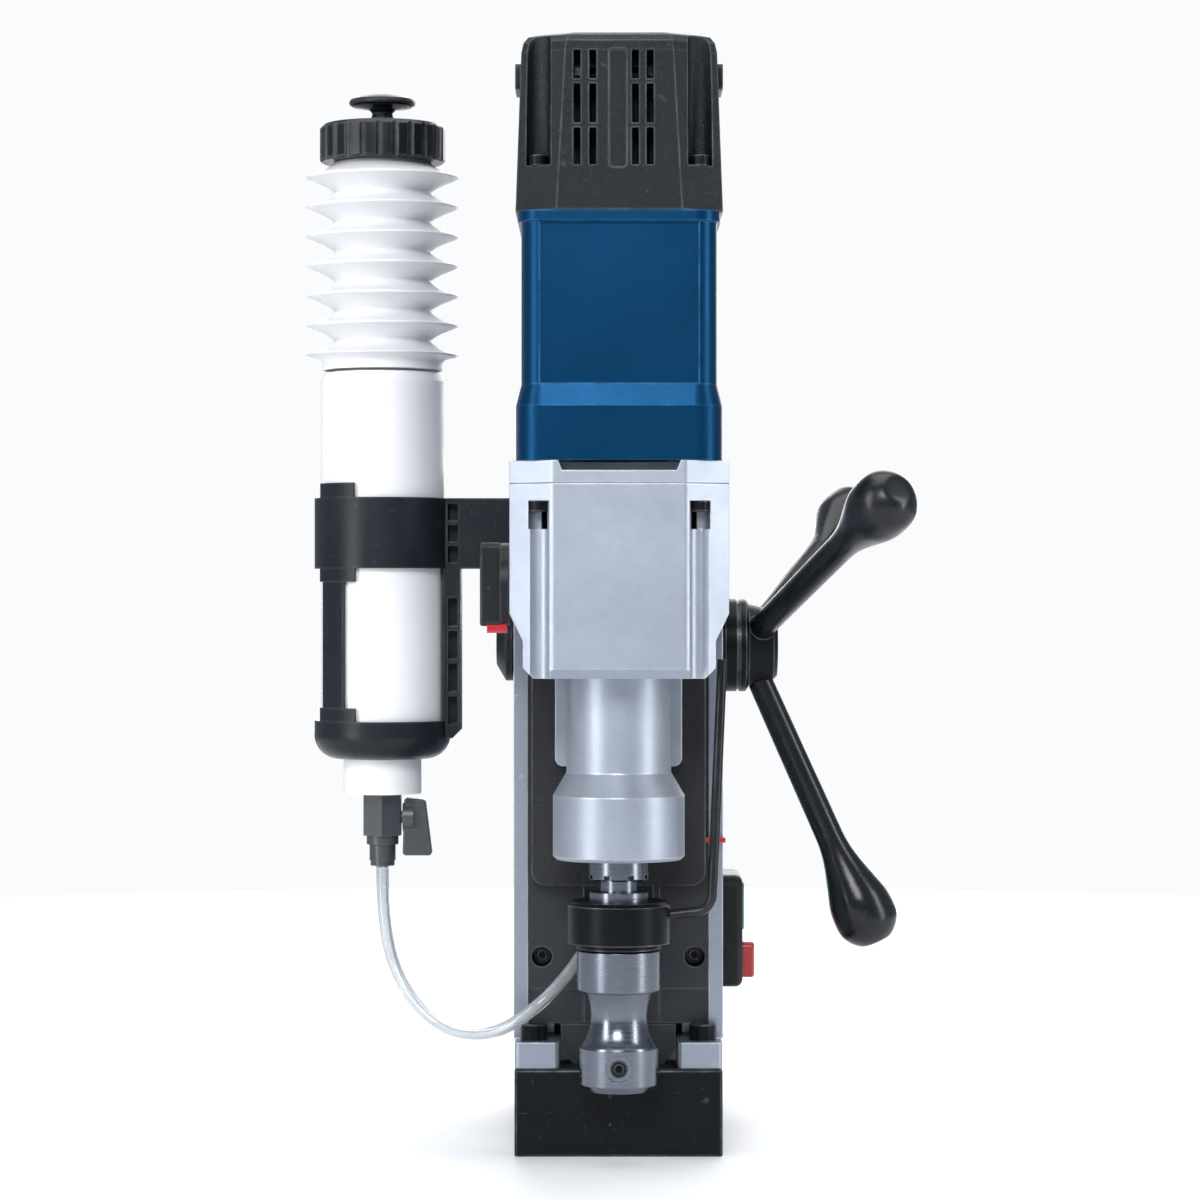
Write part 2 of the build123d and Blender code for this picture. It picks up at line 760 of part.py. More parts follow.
with BuildPart() as bottle_holder:
    # spine down the side nearest the column, and its arm to the column wall
    with BuildSketch(looking_front(BOTTLE_Y - 11)):
        with BuildLine():
            Polyline(
                (COLUMN_HALF, RING_LOW), (-SPINE_OUT, RING_LOW), (-SPINE_OUT, 204),
                (-SPINE_OUT + 4, 200), (-SPINE_IN + 6, 200), (-SPINE_IN + 6, RING_HIGH),
                (COLUMN_HALF, RING_HIGH), close=True,
            )
        make_face()
    extrude(amount=22)
    for z in (289.5, 299.8, 310.1):
        with BuildSketch(looking_front(BOTTLE_Y - 12, (SPINE_IN + SPINE_OUT) / 2, z)):
            RectangleRounded(5.0, 8.2, 0.8)
        extrude(amount=8.0, mode=Mode.SUBTRACT)
    for z in (213.5, 229.5, 245.5, 261.5):
        with BuildSketch(looking_front(BOTTLE_Y - 12, (SPINE_IN + SPINE_OUT) / 2, z)):
            RectangleRounded(4.6, 13.8, 0.8)
        extrude(amount=8.0, mode=Mode.SUBTRACT)
    # the spine's inner side follows the bottle
    spine_side = Plane(origin=(BOTTLE_X, BOTTLE_Y, CUP_BOTTOM))
    extrude(disc(spine_side, (HOLDER_INNER + HOLDER_OUTER) / 2), amount=140, mode=Mode.SUBTRACT)
    extrude(
        disc(Plane(origin=(BOTTLE_X, BOTTLE_Y, RING_LOW)), HOLDER_OUTER, HOLDER_INNER),
        amount=RING_HIGH - RING_LOW,
    )
    # rounded cup under the bottle's shoulder
    with BuildSketch(BOTTLE_PLANE):
        with BuildLine():
            Line((20.0, CUP_BOTTOM), (21.5, CUP_BOTTOM))
            ThreePointArc((21.5, CUP_BOTTOM), (30.2, 193.6), (HOLDER_OUTER, 203.0))
            Polyline(
                (HOLDER_OUTER, 203.0), (HOLDER_OUTER, CUP_RIM), (HOLDER_INNER, CUP_RIM),
                (HOLDER_INNER, 203.6), (20.0, 192.2), (20.0, CUP_BOTTOM),
            )
        make_face()
    revolve(axis=BOTTLE_AXIS)
    # two bars of the cage, with a wider root at each end
    for start, end, before, after in ((211.5, 238, 5, 11), (122, 148.5, 11, 5)):
        bar = ring_sector(
            Plane(origin=(BOTTLE_X, BOTTLE_Y, CUP_RIM - 2)),
            HOLDER_INNER + 0.3,
            HOLDER_OUTER - 0.3,
            start,
            end,
        )
        extrude(bar, amount=RING_LOW - CUP_RIM + 4)
        for z in (CUP_RIM - 1, RING_LOW - 6.5):
            root = ring_sector(
                Plane(origin=(BOTTLE_X, BOTTLE_Y, z)),
                HOLDER_INNER + 0.15,
                HOLDER_OUTER - 0.15,
                start - before,
                end + after,
            )
            extrude(root, amount=7.5)
    tab = ring_sector(
        Plane(origin=(BOTTLE_X, BOTTLE_Y, RING_HIGH - 1)),
        HOLDER_INNER + 0.2,
        HOLDER_OUTER - 0.2,
        207,
        248,
    )
    extrude(tab, amount=8.0)
finish(bottle_holder, "bottle_holder")

with BuildPart() as coolant_bottle:
    WALL = 1.4
    outer = [
        (BOTTLE_NECK, BOTTLE_BOTTOM), (BOTTLE_NECK, 192.6), (29.4, 203.6), (BOTTLE_RADIUS, 206.5),
        (BOTTLE_RADIUS, 374), (28.4, 378), (BELLOWS_VALLEY, BELLOWS_BOTTOM - 0.3),
    ]
    inner = [
        (BELLOWS_VALLEY - WALL, BELLOWS_BOTTOM - 0.3), (28.4 - WALL, 376.2),
        (BOTTLE_RADIUS - WALL, 373), (BOTTLE_RADIUS - WALL, 207), (28.2, 204.4),
        (BOTTLE_NECK - WALL, 193.3), (BOTTLE_NECK - WALL, BOTTLE_BOTTOM + 2.4),
        (6.0, BOTTLE_BOTTOM + 2.4), (6.0, BOTTLE_BOTTOM),
    ]
    revolve(outline(BOTTLE_PLANE, outer + inner), axis=BOTTLE_AXIS)
finish(coolant_bottle, "coolant_bottle")

with BuildPart() as bottle_bellows:
    pleat = (BELLOWS_TOP - BELLOWS_BOTTOM) / BELLOWS_PLEATS
    skin = 1.1
    outer = [(BELLOWS_VALLEY, BELLOWS_BOTTOM)]
    for turn in range(BELLOWS_PLEATS):
        outer.append((BELLOWS_TIP, BELLOWS_BOTTOM + (turn + 0.5) * pleat))
        outer.append((BELLOWS_VALLEY, BELLOWS_BOTTOM + (turn + 1) * pleat))
    inner = [(radius - 1.6 * skin, z) for radius, z in reversed(outer)]
    revolve(outline(BOTTLE_PLANE, outer + inner), axis=BOTTLE_AXIS)
finish(bottle_bellows, "bottle_bellows")

CAP_RIBS = 24
with BuildPart() as bottle_cap:
    profile = [
        (6.0, BELLOWS_TOP + 0.3), (CAP_RADIUS - 1, BELLOWS_TOP + 0.3), (CAP_RADIUS, BELLOWS_TOP + 1.3),
        (CAP_RADIUS, BOTTLE_CAP_TOP - 2), (CAP_RADIUS - 2, BOTTLE_CAP_TOP), (6.0, BOTTLE_CAP_TOP),
    ]
    revolve(outline(BOTTLE_PLANE, profile), axis=BOTTLE_AXIS)
    with BuildSketch(Plane(origin=(BOTTLE_X, BOTTLE_Y, BELLOWS_TOP))):
        with PolarLocations(CAP_RADIUS + 0.6, CAP_RIBS):
            Circle(1.6)
    extrude(amount=BOTTLE_CAP_TOP - BELLOWS_TOP, mode=Mode.SUBTRACT)
finish(bottle_cap, "bottle_cap")

with BuildPart() as bottle_knob:
    profile = [
        (0, 484), (5.9, 484), (5.9, BOTTLE_CAP_TOP + 0.1), (8.0, BOTTLE_CAP_TOP + 0.1),
        (7.6, 501.2), (5.6, 503.0), (5.0, 505.4), (6.6, 507.4), (14.4, 508.6), (16.1, 509.6),
        (16.4, 510.7), (15.8, 511.9), (11.0, 513.5), (4.0, 514.2), (0, 514.2),
    ]
    revolve(outline(BOTTLE_PLANE, profile), axis=BOTTLE_AXIS)
finish(bottle_knob, "bottle_knob")

VALVE_LEVER_Z = 161.0
VALVE_FACE = 9.05
with BuildPart() as valve_body:
    with BuildSketch(Plane(origin=(BOTTLE_X, BOTTLE_Y, 152.2))):
        RegularPolygon(VALVE_FACE, 6, major_radius=False, rotation=30)
    extrude(amount=BOTTLE_BOTTOM - 0.3 - 152.2)
    profile = [
        (0, 137.4), (5.9, 137.4), (5.9, 139.9), (6.4, 139.9), (6.4, 147.8), (7.8, 147.8),
        (7.8, 153), (5.9, 153), (5.9, 182), (0, 182),
    ]
    revolve(outline(BOTTLE_PLANE, profile), axis=BOTTLE_AXIS)
    with Locations((BOTTLE_X, BOTTLE_Y, 182)):
        Hole(2.6, depth=44.6)
    # seat for the lever's stem
    extrude(
        disc(looking_left(BOTTLE_X + 3.6, BOTTLE_Y, VALVE_LEVER_Z), 3.05),
        amount=8,
        mode=Mode.SUBTRACT,
    )
finish(valve_body, "valve_body")

with BuildPart() as valve_lever:
    with BuildSketch(looking_front(BOTTLE_Y - 4.0)):
        with BuildLine():
            Polyline(
                (-BOTTLE_X - 10.8, 170.6), (-BOTTLE_X - 21.0, 169.8), (-BOTTLE_X - 24.4, 142.4),
                (-BOTTLE_X - 10.0, 142.4), close=True,
            )
        make_face()
    extrude(amount=8)
    fillet(valve_lever.edges().filter_by(Axis.Y), 1.6)
    chamfer(valve_lever.faces().sort_by(Axis.Y)[0].edges(), 0.5)
    extrude(disc(looking_left(BOTTLE_X + 4.0, BOTTLE_Y, VALVE_LEVER_Z), 3.0), amount=9)
    extrude(disc(looking_left(BOTTLE_X + 10.0, BOTTLE_Y, VALVE_LEVER_Z), 7.0), amount=5.5)
finish(valve_lever, "valve_lever")


def route_radii(route):
    """The largest arc that each corner's two runs allow."""
    radii = []
    for before, here, after in zip(route, route[1:], route[2:]):
        run_in = Vector(*here) - Vector(*before)
        run_out = Vector(*after) - Vector(*here)
        turn = math.radians(run_in.get_angle(run_out))
        radii.append(0.45 * min(run_in.length, run_out.length) / math.tan(turn / 2))
    return radii


with BuildPart() as coolant_hose:
    hose_radii = route_radii(HOSE_ROUTE)
    with BuildLine() as hose_path:
        FilletPolyline(*HOSE_ROUTE, radius=hose_radii)
    start_direction = Vector(*HOSE_ROUTE[1]) - Vector(*HOSE_ROUTE[0])
    with BuildSketch(Plane(origin=HOSE_ROUTE[0], z_dir=start_direction)):
        Circle(HOSE_DIAMETER / 2)
    sweep(path=hose_path.line)
finish(coolant_hose, "coolant_hose")
hose_length = hose_path.wire().length
hose_volume = math.pi * HOSE_DIAMETER**2 / 4 * hose_length
print("hose radii", [round(radius, 1) for radius in hose_radii])
print("hose length", round(hose_length, 1), "volume", round(coolant_hose.part.volume, 1))
print("section times length", round(hose_volume, 1))


# ======================= Carriage =======================
RACK_PITCH = math.pi * FEED_MODULE
RACK_LINE = FEED_Y - FEED_MODULE * FEED_TEETH / 2
SLIDE_SCREWS = ((33, 305), (33, 262), (25.5, 200))

with BuildPart() as slide_carriage:
    with BuildSketch(looking_front(SLIDE_FRONT, 0, (SLIDE_BOTTOM + SLIDE_TOP) / 2)):
        Rectangle(2 * SLIDE_HALF, SLIDE_TOP - SLIDE_BOTTOM)
    extrude(amount=SLIDE_BACK - SLIDE_FRONT)
    lower_corners = slide_carriage.edges().filter_by(Axis.Y).group_by(Axis.Z)[0]
    fillet(lower_corners, 7.3)
    chamfer(slide_carriage.faces().sort_by(Axis.Y)[0].edges(), 0.5)
    extrude(
        outline(
            Plane.XY.offset(SLIDE_BOTTOM + 0.5),
            [
                (-tongue_half(SLIDE_BACK), SLIDE_BACK), (tongue_half(SLIDE_BACK), SLIDE_BACK),
                (tongue_half(TONGUE_BACK), TONGUE_BACK), (-tongue_half(TONGUE_BACK), TONGUE_BACK),
            ],
        ),
        amount=SLIDE_TOP - SLIDE_BOTTOM - 4,
    )
    for x, z in SLIDE_SCREWS:
        for side in (-1, 1):
            through = looking_front(SLIDE_FRONT, side * x, z)
            extrude(disc(through, 3.3), amount=8, mode=Mode.SUBTRACT)
            extrude(disc(through.offset(2.6), 5.3), amount=6, mode=Mode.SUBTRACT)
finish(slide_carriage, "slide_carriage")


def rack_outline():
    """The rack's side view: local x is Y, local y is Z. A gap faces the pinion's middle tooth."""
    half_pitch_line = RACK_PITCH / 4 - BACKLASH / 2
    slope = math.tan(math.radians(PRESSURE_ANGLE))
    tip_line = RACK_LINE + 0.95 * FEED_MODULE
    root_line = RACK_LINE - 1.25 * FEED_MODULE
    half_tip = half_pitch_line - slope * (tip_line - RACK_LINE)
    half_root = half_pitch_line + slope * (RACK_LINE - root_line)
    points = [(TONGUE_BACK, -RACK_LOW_TEETH * RACK_PITCH)]
    points.append((root_line, -RACK_LOW_TEETH * RACK_PITCH))
    for tooth in range(-RACK_LOW_TEETH, RACK_HIGH_TEETH):
        centre = (tooth + 0.5) * RACK_PITCH
        points.append((root_line, centre - half_root))
        points.append((tip_line, centre - half_tip))
        points.append((tip_line, centre + half_tip))
        points.append((root_line, centre + half_root))
    points.append((root_line, RACK_HIGH_TEETH * RACK_PITCH))
    points.append((TONGUE_BACK, RACK_HIGH_TEETH * RACK_PITCH))
    return points


with BuildPart() as feed_rack:
    extrude(outline(looking_left(-RACK_WIDTH / 2, 0, FEED_Z), rack_outline()), amount=RACK_WIDTH)
finish(feed_rack, "feed_rack")

HOUSING_SCREW_X = 37.3
HOUSING_SCREW_Y = -162.0
FLOOR_TOP = 246.0
SPIGOT_TOP = 238.5
SPIGOT_RADIUS = 20.5


def housing_plan(z, front_half=30.5, side=COLUMN_HALF, corner_y=-158.0):
    """The plan shared by the gear housing and its cover, with its front corners cut off."""
    return outline(
        Plane.XY.offset(z),
        [
            (-side, HOUSING_BACK), (-side, corner_y), (-front_half, HOUSING_FRONT),
            (front_half, HOUSING_FRONT), (side, corner_y), (side, HOUSING_BACK),
        ],
    )


with BuildPart() as gear_housing:
    # front view: flat flanks above, drawn in below the side bosses
    with BuildSketch(looking_front(HOUSING_FRONT)):
        with BuildLine():
            Polyline(
                (-COLUMN_HALF, HOUSING_TOP), (-COLUMN_HALF, 261), (-HOUSING_HALF, 248.5),
                (-HOUSING_HALF, 236), (-39.6, HOUSING_BOTTOM), (39.6, HOUSING_BOTTOM),
                (HOUSING_HALF, 236), (HOUSING_HALF, 248.5), (COLUMN_HALF, 261),
                (COLUMN_HALF, HOUSING_TOP), close=True,
            )
        make_face()
    extrude(amount=HOUSING_BACK - HOUSING_FRONT)
    extrude(housing_plan(HOUSING_BOTTOM), amount=HOUSING_TOP - HOUSING_BOTTOM, mode=Mode.INTERSECT)
    bottom_front = gear_housing.faces().sort_by(Axis.Z)[0].edges().sort_by(Axis.Y)[0]
    chamfer(bottom_front, 4.6)
    fillet(
        gear_housing.edges().filter_by(Axis.Z).group_by(Axis.Y)[0], 3.0
    )
    # lug behind the spindle housing
    with BuildSketch(looking_front(-93.9, 0, (187.4 + HOUSING_BOTTOM) / 2)):
        Rectangle(61, HOUSING_BOTTOM - 187.4)
    extrude(amount=HOUSING_BACK + 93.9)
    fillet(gear_housing.edges().filter_by(Axis.Y).group_by(Axis.Z)[0], 4.0)
    # gear chamber
    extrude(
        outline(
            Plane.XY.offset(FLOOR_TOP),
            [(-40, -90), (-40, -152), (-30, -165), (30, -165), (40, -152), (40, -90)],
        ),
        amount=HOUSING_TOP - FLOOR_TOP,
        mode=Mode.SUBTRACT,
    )
    for side in (-1, 1):
        # screw channel down each front corner
        extrude(
            disc(Plane(origin=(side * HOUSING_SCREW_X, -167.2, HOUSING_BOTTOM - 1)), 5.2),
            amount=83,
            mode=Mode.SUBTRACT,
        )
        for y in (HOUSING_SCREW_Y, -95.0):
            x = side * (HOUSING_SCREW_X if y < -150 else 45.4)
            extrude(
                disc(Plane(origin=(x, y, HOUSING_TOP - 20)), 2.5), amount=20, mode=Mode.SUBTRACT
            )
        extrude(
            disc(Plane(origin=(side * HOUSING_SCREW_X, HOUSING_SCREW_Y, 300)), 4.7),
            amount=13,
            mode=Mode.SUBTRACT,
        )
        # rear screws go up from a notch in each flank
        with BuildSketch(Plane(origin=(side * 47.4, -95.0, 300))):
            Rectangle(13, 11)
        extrude(amount=13, mode=Mode.SUBTRACT)
        for x, z in SLIDE_SCREWS:
            extrude(
                disc(looking_front(HOUSING_BACK, side * x, z), 3.0), amount=-5.6, mode=Mode.SUBTRACT
            )
    # spindle housing spigot, spindle passage, layshaft seat and selector bore
    spigot = Plane(origin=(0, SPINDLE_Y, HOUSING_BOTTOM - 1))
    extrude(disc(spigot, SPIGOT_RADIUS), amount=SPIGOT_TOP - HOUSING_BOTTOM + 1, mode=Mode.SUBTRACT)
    extrude(disc(spigot, 12.8), amount=FLOOR_TOP - HOUSING_BOTTOM + 2, mode=Mode.SUBTRACT)
    extrude(disc(Plane(origin=(0, LAYSHAFT_Y, 240)), 5.04), amount=8, mode=Mode.SUBTRACT)
    extrude(
        disc(looking_left(-COLUMN_HALF - 1, SELECTOR_Y, SELECTOR_Z), 5.04),
        amount=14,
        mode=Mode.SUBTRACT,
    )
finish(gear_housing, "gear_housing")

MOTOR_BEARING_LOW = 322.6
with BuildPart() as gear_cover:
    extrude(housing_plan(HOUSING_TOP), amount=DECK_TOP - HOUSING_TOP)
    fillet(gear_cover.edges().filter_by(Axis.Z).group_by(Axis.Y)[0], 3.0)
    chamfer(gear_cover.faces().sort_by(Axis.Z)[0].edges().sort_by(Axis.Y)[0], 0.4)
    # cooling air leaves through a shallow slot under the motor's front edge
    with BuildSketch(looking_front(HOUSING_FRONT - 1)):
        with BuildLine():
            Polyline(
                (-28.2, DECK_TOP), (-26.4, DECK_TOP - 4.6), (26.4, DECK_TOP - 4.6), (28.2, DECK_TOP),
                close=True,
            )
        make_face()
    extrude(amount=22, mode=Mode.SUBTRACT)
    extrude(
        disc(Plane(origin=(0, SPINDLE_Y, MOTOR_BEARING_LOW)), 13.0), amount=12, mode=Mode.SUBTRACT
    )
    extrude(disc(Plane(origin=(0, SPINDLE_Y, 320)), 7.0), amount=5, mode=Mode.SUBTRACT)
    extrude(disc(Plane(origin=(0, LAYSHAFT_Y, 320)), 5.04), amount=8, mode=Mode.SUBTRACT)
    for side in (-1, 1):
        for x, y in ((HOUSING_SCREW_X, HOUSING_SCREW_Y), (45.4, -95.0)):
            extrude(disc(Plane(origin=(side * x, y, 320)), 2.5), amount=9.5, mode=Mode.SUBTRACT)
finish(gear_cover, "gear_cover")

upward = [
    cap_screw(
        Plane(origin=(side * x, y, 313), x_dir=(1, 0, 0), z_dir=(0, 0, 1)), 4.25, 5.0, 2.45, 15.0
    )
    for side in (-1, 1)
    for x, y in ((HOUSING_SCREW_X, HOUSING_SCREW_Y), (45.4, -95.0))
]
backward = [
    cap_screw(
        Plane(origin=(side * x, SLIDE_FRONT + 2.6, z), x_dir=(1, 0, 0), z_dir=(0, -1, 0)),
        5.0,
        5.0,
        2.95,
        7.8,
    )
    for side in (-1, 1)
    for x, z in SLIDE_SCREWS
]
group(upward + backward, "housing_screws")

# ======================= Motor =======================
CAP_SCREW_X = 37.3
CAP_SCREW_Y = (-157.0, -87.0)
STATOR_RADIUS = 37.0
MOTOR_FRONT = MOTOR_Y - MOTOR_HALF_DEPTH
MOTOR_BACK = MOTOR_Y + MOTOR_HALF_DEPTH


def motor_plan(z, inset, corner):
    """The motor's rounded square plan, drawn in by inset."""
    with BuildSketch(Plane(origin=(0, MOTOR_Y, z))) as shape:
        RectangleRounded(2 * (MOTOR_HALF - inset), 2 * (MOTOR_HALF_DEPTH - inset), corner)
    return shape.sketch


FLANGE_TOP = 357.0
WAIST_LOW = 367.0
LIP_LOW = 442.0
WAIST_INSET = 2.5
COLUMN_RELIEF = 0.9
RELIEF_HALF = 36.8
with BuildPart() as motor_housing:
    extrude(motor_plan(DECK_TOP, 0, 13), amount=FLANGE_TOP - DECK_TOP)
    band_taper = math.degrees(math.atan(WAIST_INSET / (WAIST_LOW - FLANGE_TOP)))
    extrude(motor_plan(FLANGE_TOP, 0, 13), amount=WAIST_LOW - FLANGE_TOP, taper=band_taper)
    extrude(motor_plan(WAIST_LOW, WAIST_INSET, 10.5), amount=LIP_LOW - WAIST_LOW)
    extrude(motor_plan(LIP_LOW, 0.9, 12), amount=MOTOR_TOP - LIP_LOW)
    # front and back stand back a little between the corner columns
    front_face = MOTOR_Y - MOTOR_HALF_DEPTH + WAIST_INSET
    back_face = MOTOR_Y + MOTOR_HALF_DEPTH - WAIST_INSET
    waist_middle = (WAIST_LOW + LIP_LOW) / 2
    for face in (front_face, back_face - COLUMN_RELIEF):
        with BuildSketch(looking_front(face, 0, waist_middle)):
            Rectangle(2 * RELIEF_HALF, LIP_LOW - WAIST_LOW)
        extrude(amount=COLUMN_RELIEF, mode=Mode.SUBTRACT)
    # shallow panels on the sides
    panel_middle = (WAIST_LOW + 3 + 427) / 2
    panel_height = 427 - WAIST_LOW - 3
    for side in (-1, 1):
        side_face = side * (MOTOR_HALF - WAIST_INSET)
        extrude(
            rounded(looking_left(side_face, MOTOR_Y, panel_middle), 64, panel_height, 4),
            amount=-side * 1.4,
            mode=Mode.SUBTRACT,
        )
    extrude(
        disc(Plane(origin=(0, SPINDLE_Y, DECK_TOP)), STATOR_RADIUS + 0.04),
        amount=MOTOR_TOP - DECK_TOP,
        mode=Mode.SUBTRACT,
    )
    # the front edge lets the cooling air into the cover's slot
    with BuildSketch(Plane(origin=(0, -157, DECK_TOP))):
        Rectangle(44, 18)
    extrude(amount=6, mode=Mode.SUBTRACT)
    for side in (-1, 1):
        for y in CAP_SCREW_Y:
            extrude(
                disc(Plane(origin=(side * CAP_SCREW_X, y, MOTOR_TOP - 13)), 2.5),
                amount=13,
                mode=Mode.SUBTRACT,
            )
finish(motor_housing, "motor_housing")


def cap_plan(z, half, front_half, drawn_in):
    """The motor cap's plan: a flat front and back panel with slanted corners."""
    front = MOTOR_FRONT + drawn_in
    back = MOTOR_BACK - drawn_in
    return outline(
        Plane.XY.offset(z),
        [
            (-half, front + 10), (-front_half, front), (front_half, front), (half, front + 10),
            (half, back - 10), (front_half, back), (-front_half, back), (-half, back - 10),
        ],
    )


CAP_SHOULDER = 521.0
UPPER_BEARING_LOW = 500.0
CAP_POCKET_BOTTOM = 468.0
CAP_CHANNEL = 5.6
STRIP_Z = 494.0
STRIP_DEPTH = 0.9
with BuildPart() as motor_cap:
    # each level: z, half width, half of the front panel, depth taken off front and back
    levels = (
        (MOTOR_TOP, 48.0, 29.0, 0.5),
        (CAP_SHOULDER, 45.4, 25.0, 4.0),
        (CAP_SHOULDER + 4.6, 44.4, 24.4, 5.0),
        (CAP_SHOULDER + 7.6, 42.2, 23.2, 7.2),
        (CAP_TOP, 38.5, 21.0, 11.0),
    )
    for low, high in zip(levels, levels[1:]):
        loft([cap_plan(*low), cap_plan(*high)])
    # small rounded lug on each side near the top
    for side in (-1, 1):
        extrude(rounded(looking_left(side * 40, MOTOR_Y, 512.5), 34, 12, 4), amount=side * 8.6)
    # inside: a chamber for the brushes and the commutator
    with BuildSketch(Plane.XY.offset(MOTOR_TOP)):
        with Locations((0, SPINDLE_Y)):
            Circle(STATOR_RADIUS - 1.5)
    extrude(amount=CAP_SHOULDER - 6 - MOTOR_TOP, mode=Mode.SUBTRACT)
    # cooling slots through the front and back panels, with two cross bars
    for x in (-19.5, -12.2, 7.4, 14.2):
        for low, high in ((467.8, 484.9), (487.2, 505.3), (507.6, 521.0)):
            with BuildSketch(looking_front(MOTOR_FRONT - 5, x, (low + high) / 2)):
                Rectangle(3.3, high - low)
            extrude(amount=24, mode=Mode.SUBTRACT)
            with BuildSketch(looking_front(MOTOR_BACK - 18, x, (low + high) / 2)):
                Rectangle(3.3, high - low)
            extrude(amount=24, mode=Mode.SUBTRACT)
    # recessed strip down the middle of the front panel
    front_slope = (levels[1][3] - levels[0][3]) / (CAP_SHOULDER - MOTOR_TOP)
    strip_y = MOTOR_FRONT + levels[0][3] + front_slope * (STRIP_Z - MOTOR_TOP) + STRIP_DEPTH
    strip = Plane(origin=(-0.6, strip_y, STRIP_Z), x_dir=(1, 0, 0), z_dir=(0, -1, front_slope))
    with BuildSketch(strip):
        RectangleRounded(8.2, 55, 2)
    extrude(amount=8, mode=Mode.SUBTRACT)
    # screw channels at the four corners
    for side in (-1, 1):
        for y, outward in zip(CAP_SCREW_Y, (-1, 1)):
            extrude(
                disc(Plane(origin=(side * CAP_SCREW_X, y, CAP_POCKET_BOTTOM)), CAP_CHANNEL),
                amount=80,
                mode=Mode.SUBTRACT,
            )
            with BuildSketch(
                Plane(origin=(side * CAP_SCREW_X, y + outward * 8, CAP_POCKET_BOTTOM))
            ):
                Rectangle(2 * CAP_CHANNEL, 16)
            extrude(amount=80, mode=Mode.SUBTRACT)
            extrude(
                disc(Plane(origin=(side * CAP_SCREW_X, y, MOTOR_TOP)), 2.7),
                amount=30,
                mode=Mode.SUBTRACT,
            )
    # boss that carries the upper motor bearing, tied to the walls by two ribs
    hub = Plane(origin=(0, SPINDLE_Y, UPPER_BEARING_LOW - 1))
    extrude(disc(hub, 14.0), amount=CAP_SHOULDER - UPPER_BEARING_LOW)
    extrude(disc(hub, 11.0), amount=10.0, mode=Mode.SUBTRACT)
    extrude(disc(hub, 6.0), amount=16.0, mode=Mode.SUBTRACT)
finish(motor_cap, "motor_cap")

long_screws = [
    cap_screw(
        Plane(origin=(side * CAP_SCREW_X, y, CAP_POCKET_BOTTOM), x_dir=(1, 0, 0), z_dir=(0, 0, -1)),
        4.25,
        5.0,
        2.45,
        CAP_POCKET_BOTTOM - MOTOR_TOP + 11.0,
    )
    for side in (-1, 1)
    for y in CAP_SCREW_Y
]
group(long_screws, "cap_screws")

CORE_LOW = 352.0
CORE_HIGH = 412.0
CORE_RADIUS = 25.4
with BuildPart() as motor_stator:
    extrude(
        disc(Plane(origin=(0, SPINDLE_Y, CORE_LOW - 2)), STATOR_RADIUS, CORE_RADIUS + 0.7),
        amount=CORE_HIGH - CORE_LOW + 4,
    )
    # pole gaps left and right, and the field winding heads above and below
    for side in (-1, 1):
        with BuildSketch(Plane(origin=(side * 28, SPINDLE_Y, CORE_LOW - 3))):
            Rectangle(9, 18)
        extrude(amount=CORE_HIGH - CORE_LOW + 6, mode=Mode.SUBTRACT)
    for start in (25, 205):
        for z in (CORE_LOW - 10, CORE_HIGH + 1.5):
            head = ring_sector(
                Plane(origin=(0, SPINDLE_Y, z)), CORE_RADIUS + 2.5, STATOR_RADIUS - 1.5, start, start + 130
            )
            extrude(head, amount=8.5)
finish(motor_stator, "motor_stator")

MOTOR_SHAFT = 5.0
COMMUTATOR_LOW = 430.0
COMMUTATOR_HIGH = 448.0
COMMUTATOR_RADIUS = 12.5
FAN_LOW = 333.5
SLOTS = 12
with BuildPart() as armature:
    extrude(
        gear_face(
            Plane(origin=(0, SPINDLE_Y, 298), x_dir=(1, 0, 0), z_dir=(0, 0, 1)),
            0.8, 14, -math.pi / 2,
        ),
        amount=17.0,
    )
    extrude(disc(Plane(origin=(0, SPINDLE_Y, 315)), MOTOR_SHAFT), amount=195.0)
    extrude(disc(Plane(origin=(0, SPINDLE_Y, CORE_LOW)), CORE_RADIUS), amount=CORE_HIGH - CORE_LOW)
    with BuildSketch(Plane(origin=(0, SPINDLE_Y, CORE_LOW))):
        with PolarLocations(CORE_RADIUS - 3.5, SLOTS):
            Rectangle(9, 2.4)
    extrude(amount=CORE_HIGH - CORE_LOW, mode=Mode.SUBTRACT)
    for z in (CORE_LOW - 8, CORE_HIGH):
        extrude(disc(Plane(origin=(0, SPINDLE_Y, z)), 20.0), amount=8.0)
    extrude(
        disc(Plane(origin=(0, SPINDLE_Y, COMMUTATOR_LOW)), COMMUTATOR_RADIUS),
        amount=COMMUTATOR_HIGH - COMMUTATOR_LOW,
    )
    with BuildSketch(Plane(origin=(0, SPINDLE_Y, COMMUTATOR_LOW))):
        with PolarLocations(COMMUTATOR_RADIUS, 2 * SLOTS):
            Rectangle(2.4, 0.5)
    extrude(amount=COMMUTATOR_HIGH - COMMUTATOR_LOW, mode=Mode.SUBTRACT)
    # cooling fan under the core
    extrude(disc(Plane(origin=(0, SPINDLE_Y, FAN_LOW)), 33.0), amount=1.6)
    with BuildSketch(Plane(origin=(0, SPINDLE_Y, FAN_LOW + 1))):
        with PolarLocations(24.0, SLOTS):
            Rectangle(16, 1.4)
    extrude(amount=6.0)
    extrude(disc(Plane(origin=(0, SPINDLE_Y, FAN_LOW)), 9.0), amount=9.0)
finish(armature, "armature")

